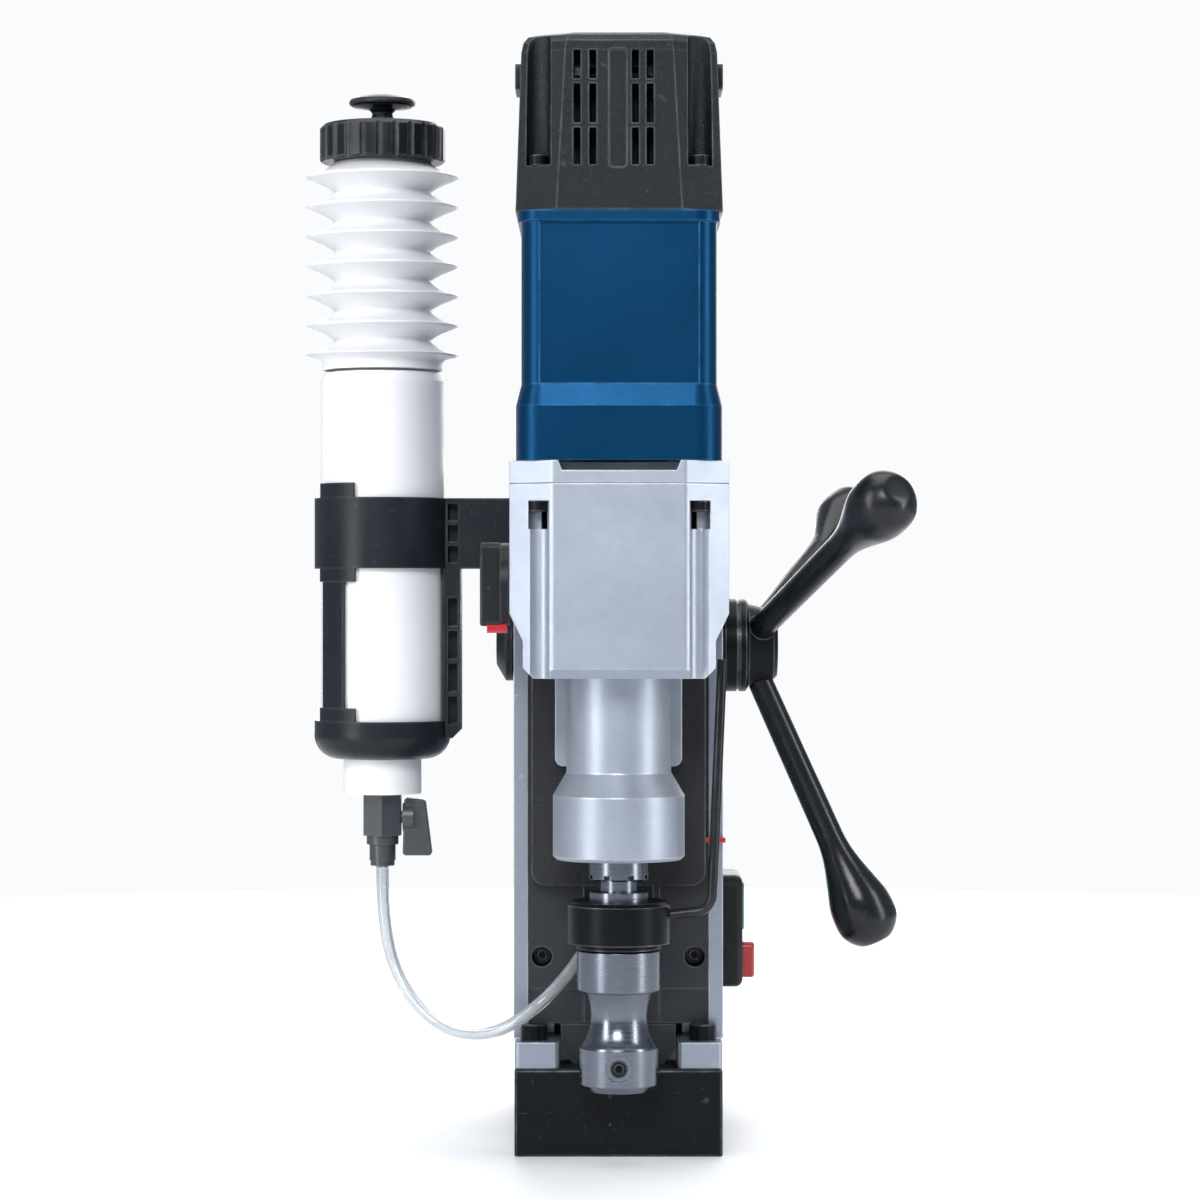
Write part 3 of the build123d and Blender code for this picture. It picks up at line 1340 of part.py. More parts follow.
brushes = []
for side in (-1, 1):
    with BuildPart() as brush:
        near = COMMUTATOR_RADIUS + 0.4
        with BuildSketch(looking_left(side * near, SPINDLE_Y, 439)):
            Rectangle(8, 6)
        extrude(amount=side * 12)
        with BuildSketch(looking_left(side * (near + 3), SPINDLE_Y, 439)):
            Rectangle(12, 10)
        extrude(amount=side * (STATOR_RADIUS - near - 3.8))
    brushes.append(brush.part)
group(brushes, "brush_holders")


def ball_bearing(axis_y, z, bore, outside, width):
    """A sealed ball bearing: two races joined by a set-back shield."""
    race = (outside - bore) / 4
    plane = Plane(origin=(0, axis_y, z))
    with BuildPart() as bearing:
        extrude(disc(plane, outside, outside - race), amount=width)
        extrude(disc(plane, bore + race, bore), amount=width)
        extrude(disc(plane.offset(0.6), outside - race + 0.1, bore + race - 0.1), amount=width - 1.2)
    return bearing.part


group(
    [
        ball_bearing(SPINDLE_Y, MOTOR_BEARING_LOW, MOTOR_SHAFT + 0.03, 12.98, 8.9),
        ball_bearing(SPINDLE_Y, UPPER_BEARING_LOW, MOTOR_SHAFT + 0.03, 10.98, 8.0),
    ],
    "motor_bearings",
)


# ======================= Gear train =======================
with BuildPart() as layshaft:
    extrude(disc(Plane(origin=(0, LAYSHAFT_Y, 240.5)), 5.0), amount=87.0)
    extrude(
        gear_face(Plane(origin=(0, LAYSHAFT_Y, 299)), 0.8, 46, math.pi / 2 + math.pi / 46),
        amount=14.0,
    )
    extrude(gear_face(Plane(origin=(0, LAYSHAFT_Y, 262)), 1.0, 14, math.pi / 2), amount=24.0)
    extrude(disc(Plane(origin=(0, LAYSHAFT_Y, 284)), 6.6), amount=16.0)
finish(layshaft, "layshaft")

SPINDLE_TOP = 292.0
SPINDLE_SEAT = 12.0
TAPER = 0.025
with BuildPart() as spindle:
    profile = [
        (0, NOSE_BOTTOM), (NOSE_RADIUS - 0.8, NOSE_BOTTOM), (NOSE_RADIUS, NOSE_BOTTOM + 0.8),
        (NOSE_RADIUS, 149.6), (SPINDLE_SEAT, 149.6), (SPINDLE_SEAT, 238.2), (9.0, 238.2),
        (9.0, SPINDLE_TOP), (0, SPINDLE_TOP),
    ]
    revolve(outline(SPINDLE_PLANE, profile), axis=SPINDLE_AXIS)
    extrude(gear_face(Plane(origin=(0, SPINDLE_Y, 265)), 1.0, 34, -math.pi / 2 + math.pi / 34), amount=18)
    bore = [
        (0, NOSE_BOTTOM - 1), (8.95, NOSE_BOTTOM - 1), (8.95 - 70 * TAPER, NOSE_BOTTOM + 69),
        (7.0, 222), (0, 222),
    ]
    revolve(outline(SPINDLE_PLANE, bore), axis=SPINDLE_AXIS, mode=Mode.SUBTRACT)
    # slot for the drift key, and the castellated nose
    with BuildSketch(Plane(origin=(0, SPINDLE_Y - 20, 212), x_dir=(-1, 0, 0), z_dir=(0, 1, 0))):
        RectangleRounded(6.4, 17, 3)
    extrude(amount=40, mode=Mode.SUBTRACT)
    with BuildSketch(Plane(origin=(0, SPINDLE_Y, NOSE_BOTTOM - 1))):
        with PolarLocations(NOSE_RADIUS, 8, start_angle=22.5):
            Rectangle(7, 3.4)
    extrude(amount=3.6, mode=Mode.SUBTRACT)
finish(spindle, "spindle")

JOURNAL_RADIUS = 14.0
with BuildPart() as arbor_holder:
    with BuildSketch(SPINDLE_PLANE):
        with BuildLine():
            Polyline(
                (0, 216), (3.0, 216), (6.9, 204), (8.85, 136), (8.85, 129.4), (14.1, 129.4),
                (14.1, 126.6), (JOURNAL_RADIUS, 126.6), (JOURNAL_RADIUS, 102.2), (19.0, 102.2),
                (19.7, 101.5), (19.7, 83.2), (19.2, 82.6), (17.6, 82.3),
            )
            ThreePointArc((17.6, 82.3), (13.7, 71.6), (18.5, 56.6))
            Polyline(
                (18.5, 56.6), (18.75, 55.6), (18.75, 38.6), (15.4, ARBOR_BOTTOM), (0, ARBOR_BOTTOM),
                (0, 216),
            )
        make_face()
    revolve(axis=SPINDLE_AXIS)
    bore_top = ARBOR_BOTTOM + ARBOR_BORE_DEPTH
    bore = [
        (0, ARBOR_BOTTOM - 1), (ARBOR_BORE, ARBOR_BOTTOM - 1), (ARBOR_BORE, bore_top),
        (3.2, bore_top + 3), (3.2, 118), (0, 118),
    ]
    revolve(outline(SPINDLE_PLANE, bore), axis=SPINDLE_AXIS, mode=Mode.SUBTRACT)
    # coolant passage from the ring, and the two set screw holes
    extrude(disc(looking_left(0, SPINDLE_Y, 115), 1.6), amount=20, mode=Mode.SUBTRACT)
    extrude(
        disc(looking_front(SPINDLE_Y - 30, 0, ARBOR_SCREW_Z), 4.0), amount=30, mode=Mode.SUBTRACT
    )
    extrude(
        disc(looking_front(SPINDLE_Y - 19.5, 0, ARBOR_SCREW_Z), 6.3), amount=2.6, mode=Mode.SUBTRACT
    )
    extrude(disc(looking_left(-30, SPINDLE_Y, ARBOR_SCREW_Z), 4.0), amount=30, mode=Mode.SUBTRACT)
finish(arbor_holder, "arbor_holder")

with BuildPart() as front_screw:
    socket = looking_front(SPINDLE_Y - 17.6, 0, ARBOR_SCREW_Z)
    extrude(disc(socket, 3.95), amount=8.0)
    with BuildSketch(socket):
        RegularPolygon(2.3, 6)
    extrude(amount=3.0, mode=Mode.SUBTRACT)
with BuildPart() as side_screw:
    socket = looking_left(-17.8, SPINDLE_Y, ARBOR_SCREW_Z)
    extrude(disc(socket, 3.95), amount=8.0)
    with BuildSketch(socket):
        RegularPolygon(2.3, 6)
    extrude(amount=3.0, mode=Mode.SUBTRACT)
group([front_screw.part, side_screw.part], "arbor_screws")

with BuildPart() as spindle_housing:
    profile = [
        (15.4, COLLAR_BOTTOM), (COLLAR_RADIUS - 1.6, COLLAR_BOTTOM),
        (COLLAR_RADIUS, COLLAR_BOTTOM + 1.6), (COLLAR_RADIUS, 175), (NECK_RADIUS, 186),
        (NECK_RADIUS, HOUSING_BOTTOM), (SPIGOT_RADIUS - 0.02, HOUSING_BOTTOM),
        (SPIGOT_RADIUS - 0.02, SPIGOT_TOP), (17.5, SPIGOT_TOP), (17.5, 224), (13.5, 224), (13.5, 164),
        (17.5, 164), (17.5, 150), (15.4, 150),
    ]
    revolve(outline(SPINDLE_PLANE, profile), axis=SPINDLE_AXIS)
finish(spindle_housing, "spindle_housing")

group(
    [
        ball_bearing(SPINDLE_Y, 150.2, SPINDLE_SEAT + 0.03, 17.48, 13.0),
        ball_bearing(SPINDLE_Y, 224.2, SPINDLE_SEAT + 0.03, 17.48, 13.0),
    ],
    "spindle_bearings",
)

RING_BORE = JOURNAL_RADIUS + 0.06
ROD_RADIUS = 2.35
ROD_START = Vector(20.6, SPINDLE_Y, 118.0)
ROD_BEND = Vector(43.9, SPINDLE_Y, 120.6)
NIPPLE = (-6.5, -87.0, 115.1)
with BuildPart() as coolant_ring:
    profile = [
        (RING_BORE, RING_BOTTOM), (20.3, RING_BOTTOM), (20.3, RING_STEP), (RING_RADIUS, RING_STEP),
        (RING_RADIUS, RING_TOP - 1.8), (RING_RADIUS - 1.8, RING_TOP), (RING_BORE, RING_TOP),
        (RING_BORE, 123), (17, 123), (17, 120), (RING_BORE, 120), (RING_BORE, 118), (17, 118),
        (17, 112), (RING_BORE, 112), (RING_BORE, 110), (17, 110), (17, 107), (RING_BORE, 107),
    ]
    revolve(outline(SPINDLE_PLANE, profile), axis=SPINDLE_AXIS)
    rod_hole = Plane(origin=ROD_START, z_dir=ROD_BEND - ROD_START)
    extrude(disc(rod_hole, ROD_RADIUS + 0.03), amount=6, mode=Mode.SUBTRACT)
    extrude(
        disc(looking_front(-104.5, NIPPLE[0], NIPPLE[2]), 3.02), amount=15, mode=Mode.SUBTRACT
    )
finish(coolant_ring, "coolant_ring")

group(
    [
        extrude(disc(Plane(origin=(0, SPINDLE_Y, z)), 16.98, JOURNAL_RADIUS + 0.08), amount=2.9)
        for z in (107.05, 120.05)
    ],
    "ring_seals",
)

with BuildPart() as ring_nipple:
    extrude(disc(looking_front(-101, NIPPLE[0], NIPPLE[2]), 3.0), amount=14)
    barb_direction = Vector(*HOSE_ROUTE[-1]) - Vector(*NIPPLE)
    barb = Plane(origin=NIPPLE, z_dir=barb_direction)
    extrude(disc(barb, 3.4), amount=barb_direction.length - 0.3)
    extrude(disc(barb.offset(barb_direction.length - 3.3), 4.2), amount=3.0)
    with Locations(NIPPLE):
        Sphere(3.4)
finish(ring_nipple, "ring_nipple")

with BuildPart() as torque_rod:
    with BuildLine() as rod_path:
        FilletPolyline(ROD_START, ROD_BEND, (49.0, SPINDLE_Y, 239.2), radius=8)
    with BuildSketch(Plane(origin=ROD_START, z_dir=ROD_BEND - ROD_START)):
        Circle(ROD_RADIUS)
    sweep(path=rod_path.line)
finish(torque_rod, "torque_rod")

POINTER_FRONT = -82.6
POINTER_Z = 151.2
POINTER_OUT = 51.8
POINTER_HEIGHT = 2.4
with BuildPart() as depth_pointer:
    with BuildSketch(looking_front(POINTER_FRONT, 0, POINTER_Z)):
        with Locations((-(SLIDE_HALF + POINTER_OUT) / 2, 0)):
            Rectangle(POINTER_OUT - SLIDE_HALF, POINTER_HEIGHT)
    extrude(amount=1.0)
    # the tip bends back along the column's side
    extrude(
        outline(
            looking_left(POINTER_OUT - 0.7, 0, 0),
            [
                (POINTER_FRONT, POINTER_Z - POINTER_HEIGHT / 2),
                (-72, POINTER_Z - POINTER_HEIGHT / 2),
                (-68, POINTER_Z),
                (-72, POINTER_Z + POINTER_HEIGHT / 2),
                (POINTER_FRONT, POINTER_Z + POINTER_HEIGHT / 2),
            ],
        ),
        amount=0.7,
    )
finish(depth_pointer, "depth_pointer")

# ======================= Gear selector =======================
SELECTOR_BASE = -COLUMN_HALF - 0.4
with BuildPart() as gear_selector:
    with BuildSketch(looking_left(SELECTOR_BASE, SELECTOR_Y, SELECTOR_Z)):
        Circle(19.6)
    extrude(amount=-4.4)
    with BuildSketch(looking_left(SELECTOR_BASE - 4.4, SELECTOR_Y, SELECTOR_Z)):
        RectangleRounded(14, 39.2, 2.5)
    extrude(amount=-9.7)
    fillet(gear_selector.faces().sort_by(Axis.X)[0].edges(), 1.2)
    # shaft through the housing wall, with a crank and a pin inside
    extrude(disc(looking_left(SELECTOR_BASE, SELECTOR_Y, SELECTOR_Z), 5.0), amount=15.2)
    extrude(disc(looking_left(-39.6, SELECTOR_Y, SELECTOR_Z), 9.0), amount=3.6)
    extrude(disc(looking_left(-36.2, SELECTOR_Y, SELECTOR_Z + 5), 2.4), amount=13.0)
    # guide for the release slider
    with BuildSketch(looking_left(-62.3, SELECTOR_Y, 256.5)):
        Rectangle(12.6, 14)
    extrude(amount=10.0, mode=Mode.SUBTRACT)
finish(gear_selector, "gear_selector")

with BuildPart() as selector_release:
    with BuildSketch(looking_left(-62.0, SELECTOR_Y, 256.0)):
        RectangleRounded(12, 8.4, 1.2)
    extrude(amount=9.4)
finish(selector_release, "selector_release")

# ======================= Feed shaft and handles =======================
with BuildPart() as pinion_shaft:
    extrude(
        gear_face(looking_left(-12, FEED_Y, FEED_Z), FEED_MODULE, FEED_TEETH, math.pi),
        amount=24,
    )
    extrude(disc(looking_left(-59, FEED_Y, FEED_Z), SHAFT_RADIUS), amount=129)
    extrude(disc(looking_left(-43.5, FEED_Y, FEED_Z), 11.0), amount=87)
finish(pinion_shaft, "pinion_shaft")


def handle_plane(angle):
    """The plane of one handle: local y runs out along it, local x across it."""
    lean = math.radians(HANDLE_LEAN)
    turn = math.radians(angle)
    outward = Vector(0, math.sin(turn), -math.cos(turn))
    along = Vector(math.sin(lean), 0, 0) + outward * math.cos(lean)
    across = Vector(math.cos(lean), 0, 0) - outward * math.sin(lean)
    return Plane(origin=(HANDLE_X, FEED_Y, FEED_Z), x_dir=across, z_dir=across.cross(along))


HANDLE_ANGLES = (0, 120, 240)
with BuildPart() as feed_hub:
    profile = [
        (HUB_START, SHAFT_RADIUS + 0.02), (HUB_START, HUB_RADIUS - 0.6), (HUB_START + 0.6, HUB_RADIUS),
        (58.6, HUB_RADIUS), (58.8, HUB_RADIUS - 0.9), (59.7, HUB_RADIUS - 0.9), (59.9, HUB_RADIUS),
        (63.0, HUB_RADIUS), (64.0, 21.4), (64.4, 20.6), (76.6, 17.4), (HUB_END, 15.4), (HUB_END, 0),
        (70.2, 0), (70.2, SHAFT_RADIUS + 0.02),
    ]
    revolve(outline(FEED_PLANE, profile), axis=FEED_AXIS)
    for angle in HANDLE_ANGLES:
        view = handle_plane(angle)
        along = Vector(*view.y_dir)
        socket = Plane(origin=view.origin + along * (HANDLE_ROOT - 0.4), z_dir=along)
        extrude(disc(socket, HANDLE_SHAFT + 0.4), amount=30, mode=Mode.SUBTRACT)
finish(feed_hub, "feed_hub")

handles = []
for angle in HANDLE_ANGLES:
    with BuildPart() as handle:
        view = handle_plane(angle)
        with BuildSketch(view):
            with BuildLine():
                Polyline(
                    (0, HANDLE_ROOT),
                    (HANDLE_SHAFT - 0.4, HANDLE_ROOT),
                    (HANDLE_SHAFT, HANDLE_ROOT + 0.6),
                )
                Line((HANDLE_SHAFT, HANDLE_ROOT + 0.6), (HANDLE_SHAFT + 0.7, 104))
                Spline(
                    (HANDLE_SHAFT + 0.7, 104), (9.6, 120), (14.0, 134), (HANDLE_BULB, 144.5),
                    tangents=((0.03, 1), (0, 1)),
                )
                Spline(
                    (HANDLE_BULB, 144.5), (14.2, 153.5), (9.0, 159.6), (0, HANDLE_LENGTH),
                    tangents=((0, 1), (-1, 0)),
                )
                Line((0, HANDLE_LENGTH), (0, HANDLE_ROOT))
            make_face()
        revolve(axis=Axis(view.origin, view.y_dir))
    handles.append(handle.part)
group(handles, "lever_handles")

with BuildPart() as shaft_end_cap:
    profile = [
        (-52.0, SHAFT_RADIUS + 0.02), (-52.0, 17.6), (-55.4, 17.6), (-60.0, 9.6), (-60.0, 0),
        (-59.1, 0), (-59.1, SHAFT_RADIUS + 0.02),
    ]
    revolve(outline(FEED_PLANE, profile), axis=FEED_AXIS)
finish(shaft_end_cap, "shaft_end_cap")
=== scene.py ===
import json
import math

import bpy
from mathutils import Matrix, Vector


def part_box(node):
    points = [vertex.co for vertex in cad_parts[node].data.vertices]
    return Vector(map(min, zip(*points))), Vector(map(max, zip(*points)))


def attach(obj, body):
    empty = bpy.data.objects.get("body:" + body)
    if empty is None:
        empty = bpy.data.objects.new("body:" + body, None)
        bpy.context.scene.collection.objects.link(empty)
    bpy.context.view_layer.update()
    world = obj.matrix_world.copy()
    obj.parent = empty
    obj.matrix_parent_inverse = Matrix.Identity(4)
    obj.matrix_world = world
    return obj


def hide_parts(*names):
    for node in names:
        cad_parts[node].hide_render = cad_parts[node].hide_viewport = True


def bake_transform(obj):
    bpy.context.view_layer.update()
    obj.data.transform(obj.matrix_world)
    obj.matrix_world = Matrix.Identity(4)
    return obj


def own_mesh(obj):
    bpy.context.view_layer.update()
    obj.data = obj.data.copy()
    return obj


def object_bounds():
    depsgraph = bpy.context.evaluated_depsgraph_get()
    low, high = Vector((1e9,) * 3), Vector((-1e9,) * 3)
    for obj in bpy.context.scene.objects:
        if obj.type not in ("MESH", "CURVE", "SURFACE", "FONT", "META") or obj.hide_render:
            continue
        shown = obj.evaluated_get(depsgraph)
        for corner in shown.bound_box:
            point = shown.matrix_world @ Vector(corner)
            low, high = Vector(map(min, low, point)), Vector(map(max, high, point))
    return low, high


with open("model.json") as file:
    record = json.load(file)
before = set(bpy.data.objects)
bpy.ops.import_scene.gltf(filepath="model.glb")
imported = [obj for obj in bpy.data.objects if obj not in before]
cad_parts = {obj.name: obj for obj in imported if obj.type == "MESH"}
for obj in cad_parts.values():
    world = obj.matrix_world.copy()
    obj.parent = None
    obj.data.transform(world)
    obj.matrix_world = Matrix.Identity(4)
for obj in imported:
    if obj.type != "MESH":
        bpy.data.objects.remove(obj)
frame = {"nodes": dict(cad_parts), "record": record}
CAD_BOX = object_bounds()
SLOT_OF = {entry["node"]: entry["material_slot"] for entry in frame["record"]["subparts"]}
SCENE = bpy.context.scene


# ---- Camera ----
# Level, straight at the machine's front, far enough away for the mild perspective shown.
CAMERA_PLACE = (-0.0089, -1.795, 0.2673)
LENS = 106.25

camera_data = bpy.data.cameras.new("camera")
camera_data.lens = LENS
camera_data.sensor_width = 36.0
camera_data.clip_start = 0.05
camera_data.clip_end = 30.0
camera = bpy.data.objects.new("camera", camera_data)
camera.location = CAMERA_PLACE
camera.rotation_euler = (math.radians(90), 0, 0)
SCENE.collection.objects.link(camera)
SCENE.camera = camera
SCENE.view_settings.view_transform = "Standard"


# ---- Mesh helpers ----
def add_mesh(name, vertices, faces, smooth=True):
    """A new mesh object in the scene."""
    mesh = bpy.data.meshes.new(name)
    mesh.from_pydata([tuple(v) for v in vertices], [], faces)
    mesh.update()
    for polygon in mesh.polygons:
        polygon.use_smooth = smooth
    thing = bpy.data.objects.new(name, mesh)
    SCENE.collection.objects.link(thing)
    return thing


def grid_faces(rows, columns, closed_rows=False):
    """Quads of a grid whose columns close into rings; rows may close as well."""
    faces = []
    for row in range(rows if closed_rows else rows - 1):
        upper = (row + 1) % rows
        for column in range(columns):
            after = (column + 1) % columns
            faces.append(
                (
                    row * columns + column,
                    row * columns + after,
                    upper * columns + after,
                    upper * columns + column,
                )
            )
    return faces


def lathe(name, profile, centre, steps=96, wobble=None):
    """A closed profile of (radius, z) turned about a vertical axis through centre."""
    vertices = []
    for radius, z in profile:
        for step in range(steps):
            angle = math.tau * step / steps
            reach = radius + (wobble(angle, z) if wobble else 0.0)
            vertices.append(
                (centre[0] + reach * math.cos(angle), centre[1] + reach * math.sin(angle), z)
            )
    return add_mesh(name, vertices, grid_faces(len(profile), steps, closed_rows=True))


def ring_frames(points):
    """For each point of a path, its direction and two directions across it, without twist."""
    frames = []
    across = Vector((0, 1, 0))
    for index, point in enumerate(points):
        before = points[max(index - 1, 0)]
        after = points[min(index + 1, len(points) - 1)]
        along = (after - before).normalized()
        across = (across - along * across.dot(along)).normalized()
        frames.append((point, along, across, along.cross(across)))
    return frames


# ---- Coolant hose ----
# The same route as the CAD hose, in metres.
HOSE_ROUTE = (
    (-0.1154, -0.0600, 0.1372),
    (-0.1156, -0.0602, 0.1130),
    (-0.1085, -0.0640, 0.0820),
    (-0.0870, -0.0800, 0.0590),
    (-0.0600, -0.0970, 0.0580),
    (-0.0370, -0.1050, 0.0740),
    (-0.0186, -0.0870, 0.0936),
    (-0.0114, -0.0870, 0.1064),
)
HOSE_RADIUS = 0.003
HOSE_BORE = 0.0019


def route_points(route):
    """Points along the smooth line that the route's control points draw."""
    curve = bpy.data.curves.new("hose_route", "CURVE")
    curve.dimensions = "3D"
    curve.resolution_u = 24
    spline = curve.splines.new("NURBS")
    spline.points.add(len(route) - 1)
    for point, place in zip(spline.points, route):
        point.co = (*place, 1.0)
    spline.order_u = 3
    spline.use_endpoint_u = True
    carrier = bpy.data.objects.new("hose_route", curve)
    SCENE.collection.objects.link(carrier)
    mesh = bpy.data.meshes.new_from_object(carrier)
    points = [vertex.co.copy() for vertex in mesh.vertices]
    bpy.data.objects.remove(carrier)
    return points


def make_hose():
    """A soft clear tube with a real wall, open at both ends."""
    points = route_points(HOSE_ROUTE)
    around = 28
    frames = ring_frames(points)
    vertices = []
    for radius, order in ((HOSE_RADIUS, frames), (HOSE_BORE, list(reversed(frames)))):
        for point, _, side, up in order:
            for step in range(around):
                angle = math.tau * step / around
                vertices.append(point + (side * math.cos(angle) + up * math.sin(angle)) * radius)
    hose = add_mesh("clear_hose", vertices, grid_faces(2 * len(frames), around, closed_rows=True))
    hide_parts("coolant_hose")
    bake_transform(hose)
    return hose


hose = make_hose()


# ---- Materials ----
def srgb(red, green, blue):
    """A linear colour from display values of 0 to 255."""
    linear = []
    for value in (red, green, blue):
        share = value / 255
        linear.append(share / 12.92 if share < 0.04045 else ((share + 0.055) / 1.055) ** 2.4)
    return (*linear, 1.0)


# Colour sockets of a mix node, which share their names with its number sockets
MIX_FIRST = 6
MIX_SECOND = 7
MIX_RESULT = 2


class Surface:
    """A node-based material built in layers: colour, mottling, grain, brushing, dust, and edge
    wear with a painted highlight.
    """

    def __init__(self, name, colour, rough, metallic=0.0):
        self.material = bpy.data.materials.new(name)
        self.material.use_nodes = True
        self.tree = self.material.node_tree
        self.shader = self.tree.nodes["Principled BSDF"]
        self.place = self.node("ShaderNodeTexCoord").outputs["Object"]
        self.colour = colour
        self.rough = rough
        self.metallic = None
        self.normal = None
        self.shader.inputs["Metallic"].default_value = metallic
        self.flat_metallic = metallic

    def node(self, kind, **settings):
        made = self.tree.nodes.new(kind)
        for key, value in settings.items():
            setattr(made, key, value)
        return made

    def link(self, output, target):
        self.tree.links.new(output, target)

    def feed(self, value, socket):
        """A flat value is set on the socket itself; anything else is linked."""
        if isinstance(value, (int, float, tuple)):
            socket.default_value = value
        else:
            self.link(value, socket)

    def noise(self, scale, detail=3.0, rough=0.55, stretch=(1, 1, 1), shift=0.0):
        """A noise value from 0 to 1, with an optional stretch along the axes."""
        mapping = self.node("ShaderNodeMapping")
        mapping.inputs["Scale"].default_value = stretch
        mapping.inputs["Location"].default_value = (shift, shift * 0.7, shift * 1.3)
        self.link(self.place, mapping.inputs["Vector"])
        texture = self.node("ShaderNodeTexNoise")
        texture.inputs["Scale"].default_value = scale
        texture.inputs["Detail"].default_value = detail
        texture.inputs["Roughness"].default_value = rough
        self.link(mapping.outputs[0], texture.inputs["Vector"])
        return texture.outputs["Fac"]

    def cells(self, scale):
        """The distance to the nearest cell centre, for pebbled plastic and paint flake."""
        texture = self.node("ShaderNodeTexVoronoi")
        texture.inputs["Scale"].default_value = scale
        self.link(self.place, texture.inputs["Vector"])
        return texture.outputs["Distance"]

    def remap(self, value, low, high, to_low=0.0, to_high=1.0):
        made = self.node("ShaderNodeMapRange", clamp=True)
        made.inputs["From Min"].default_value = low
        made.inputs["From Max"].default_value = high
        made.inputs["To Min"].default_value = to_low
        made.inputs["To Max"].default_value = to_high
        self.link(value, made.inputs["Value"])
        return made.outputs[0]

    def math(self, operation, first, second):
        made = self.node("ShaderNodeMath", operation=operation)
        self.feed(first, made.inputs[0])
        self.feed(second, made.inputs[1])
        return made.outputs[0]

    def mix_colour(self, share, other):
        """Mixes another colour in, by a share that varies over the surface."""
        made = self.node("ShaderNodeMix", data_type="RGBA", blend_type="MIX")
        self.link(share, made.inputs["Factor"])
        self.feed(self.colour, made.inputs[MIX_FIRST])
        self.feed(other, made.inputs[MIX_SECOND])
        self.colour = made.outputs[MIX_RESULT]
        return self

    def mottle(self, scale, amount):
        """Patches slightly darker and lighter than the colour."""
        patch = self.noise(scale, detail=4.0)
        gain = self.remap(patch, 0.3, 0.7, 1.0 - amount, 1.0 + amount)
        made = self.node("ShaderNodeMix", data_type="RGBA", blend_type="MULTIPLY")
        made.inputs["Factor"].default_value = 1.0
        self.feed(self.colour, made.inputs[MIX_FIRST])
        grey = self.node("ShaderNodeCombineColor")
        for channel in ("Red", "Green", "Blue"):
            self.link(gain, grey.inputs[channel])
        self.link(grey.outputs[0], made.inputs[MIX_SECOND])
        self.colour = made.outputs[MIX_RESULT]
        return self

    def uneven_gloss(self, scale, amount):
        """Roughness that drifts over the surface, as handling leaves it."""
        drift = self.remap(self.noise(scale, 5.0, 0.6, shift=3.1), 0.3, 0.7, -amount, amount)
        self.rough = self.math("ADD", self.rough, drift)
        return self

    def bump(self, height, strength, distance):
        made = self.node("ShaderNodeBump")
        made.inputs["Strength"].default_value = strength
        made.inputs["Distance"].default_value = distance
        self.link(height, made.inputs["Height"])
        if self.normal is not None:
            self.link(self.normal, made.inputs["Normal"])
        self.normal = made.outputs[0]
        return self

    def round_edges(self, radius):
        """Sharp CAD edges catch the light as softly broken ones."""
        made = self.node("ShaderNodeBevel", samples=4)
        made.inputs["Radius"].default_value = radius
        self.normal = made.outputs[0]
        return self

    def grain(self, scale, strength, distance=0.0004):
        return self.bump(self.noise(scale, 2.0), strength, distance)

    def pebbled(self, scale, strength, distance=0.0003):
        return self.bump(self.cells(scale), strength, distance)

    def turned(self, scale, strength, amount):
        """Fine tool marks that run round an upright axis."""
        marks = self.noise(scale, 2.0, 0.5, (1.0, 1.0, 60.0), 1.7)
        self.rough = self.math("ADD", self.rough, self.remap(marks, 0.3, 0.7, -amount, amount))
        return self.bump(marks, strength, 0.00004)

    def wear_and_edge_highlight(self, colour, width, reach=0.5, rough=None, metallic=None):
        """Edges lightened to another colour, broken up by noise: partly rubbed-through wear,
        partly a painted highlight along the edges.
        """
        bevel = self.node("ShaderNodeBevel", samples=4)
        bevel.inputs["Radius"].default_value = width
        facing = self.node("ShaderNodeNewGeometry").outputs["Normal"]
        dot = self.node("ShaderNodeVectorMath", operation="DOT_PRODUCT")
        self.link(bevel.outputs[0], dot.inputs[0])
        self.link(facing, dot.inputs[1])
        edge = self.remap(dot.outputs["Value"], 0.9995, 0.982)
        patches = self.remap(self.noise(70.0, 6.0, 0.65, shift=5.3), 0.36, 0.6, 0.25)
        share = self.math("MULTIPLY", self.math("MULTIPLY", edge, patches), reach)
        self.mix_colour(share, colour)
        if rough is not None:
            shift = self.math("MULTIPLY", share, rough)
            self.rough = self.math("ADD", self.rough, shift)
        if metallic is not None:
            self.metallic = self.math("MULTIPLY_ADD", share, metallic - self.flat_metallic)
            self.metallic.node.inputs[2].default_value = self.flat_metallic
        return self

    def scuffed(self, colour, amount=0.25, scale=18.0):
        """Thin handling scratches in random directions."""
        marks = None
        for index, stretch in enumerate(((1.0, 9.0, 1.2), (8.0, 1.0, 1.6), (1.4, 1.0, 10.0))):
            line = self.noise(scale * 6, 2.0, 0.7, stretch, 2.0 + 3.0 * index)
            line = self.remap(line, 0.69, 0.74)
            marks = line if marks is None else self.math("MAXIMUM", marks, line)
        self.mix_colour(self.math("MULTIPLY", marks, amount), colour)
        return self

    def sockets(self, **values):
        """Uniform values, straight on the shader."""
        for key, value in values.items():
            self.shader.inputs[key.replace("_", " ")].default_value = value
        return self

    def done(self):
        self.feed(self.colour, self.shader.inputs["Base Color"])
        self.feed(self.rough, self.shader.inputs["Roughness"])
        if self.metallic is not None:
            self.link(self.metallic, self.shader.inputs["Metallic"])
        if self.normal is not None:
            self.link(self.normal, self.shader.inputs["Normal"])
        return self.material


CHALK = srgb(120, 124, 130)


def cast_silver():
    """Silver-painted casting with a fine sandy skin."""
    look = Surface("cast_silver", srgb(158, 165, 177), 0.42, 0.7)
    look.mottle(14.0, 0.035).mottle(160.0, 0.03).uneven_gloss(30.0, 0.05)
    look.round_edges(0.0009).grain(1500.0, 0.22, 0.00025).grain(260.0, 0.12, 0.0004)
    return look.wear_and_edge_highlight(srgb(222, 226, 230), 0.0012, 0.5, -0.15).done()


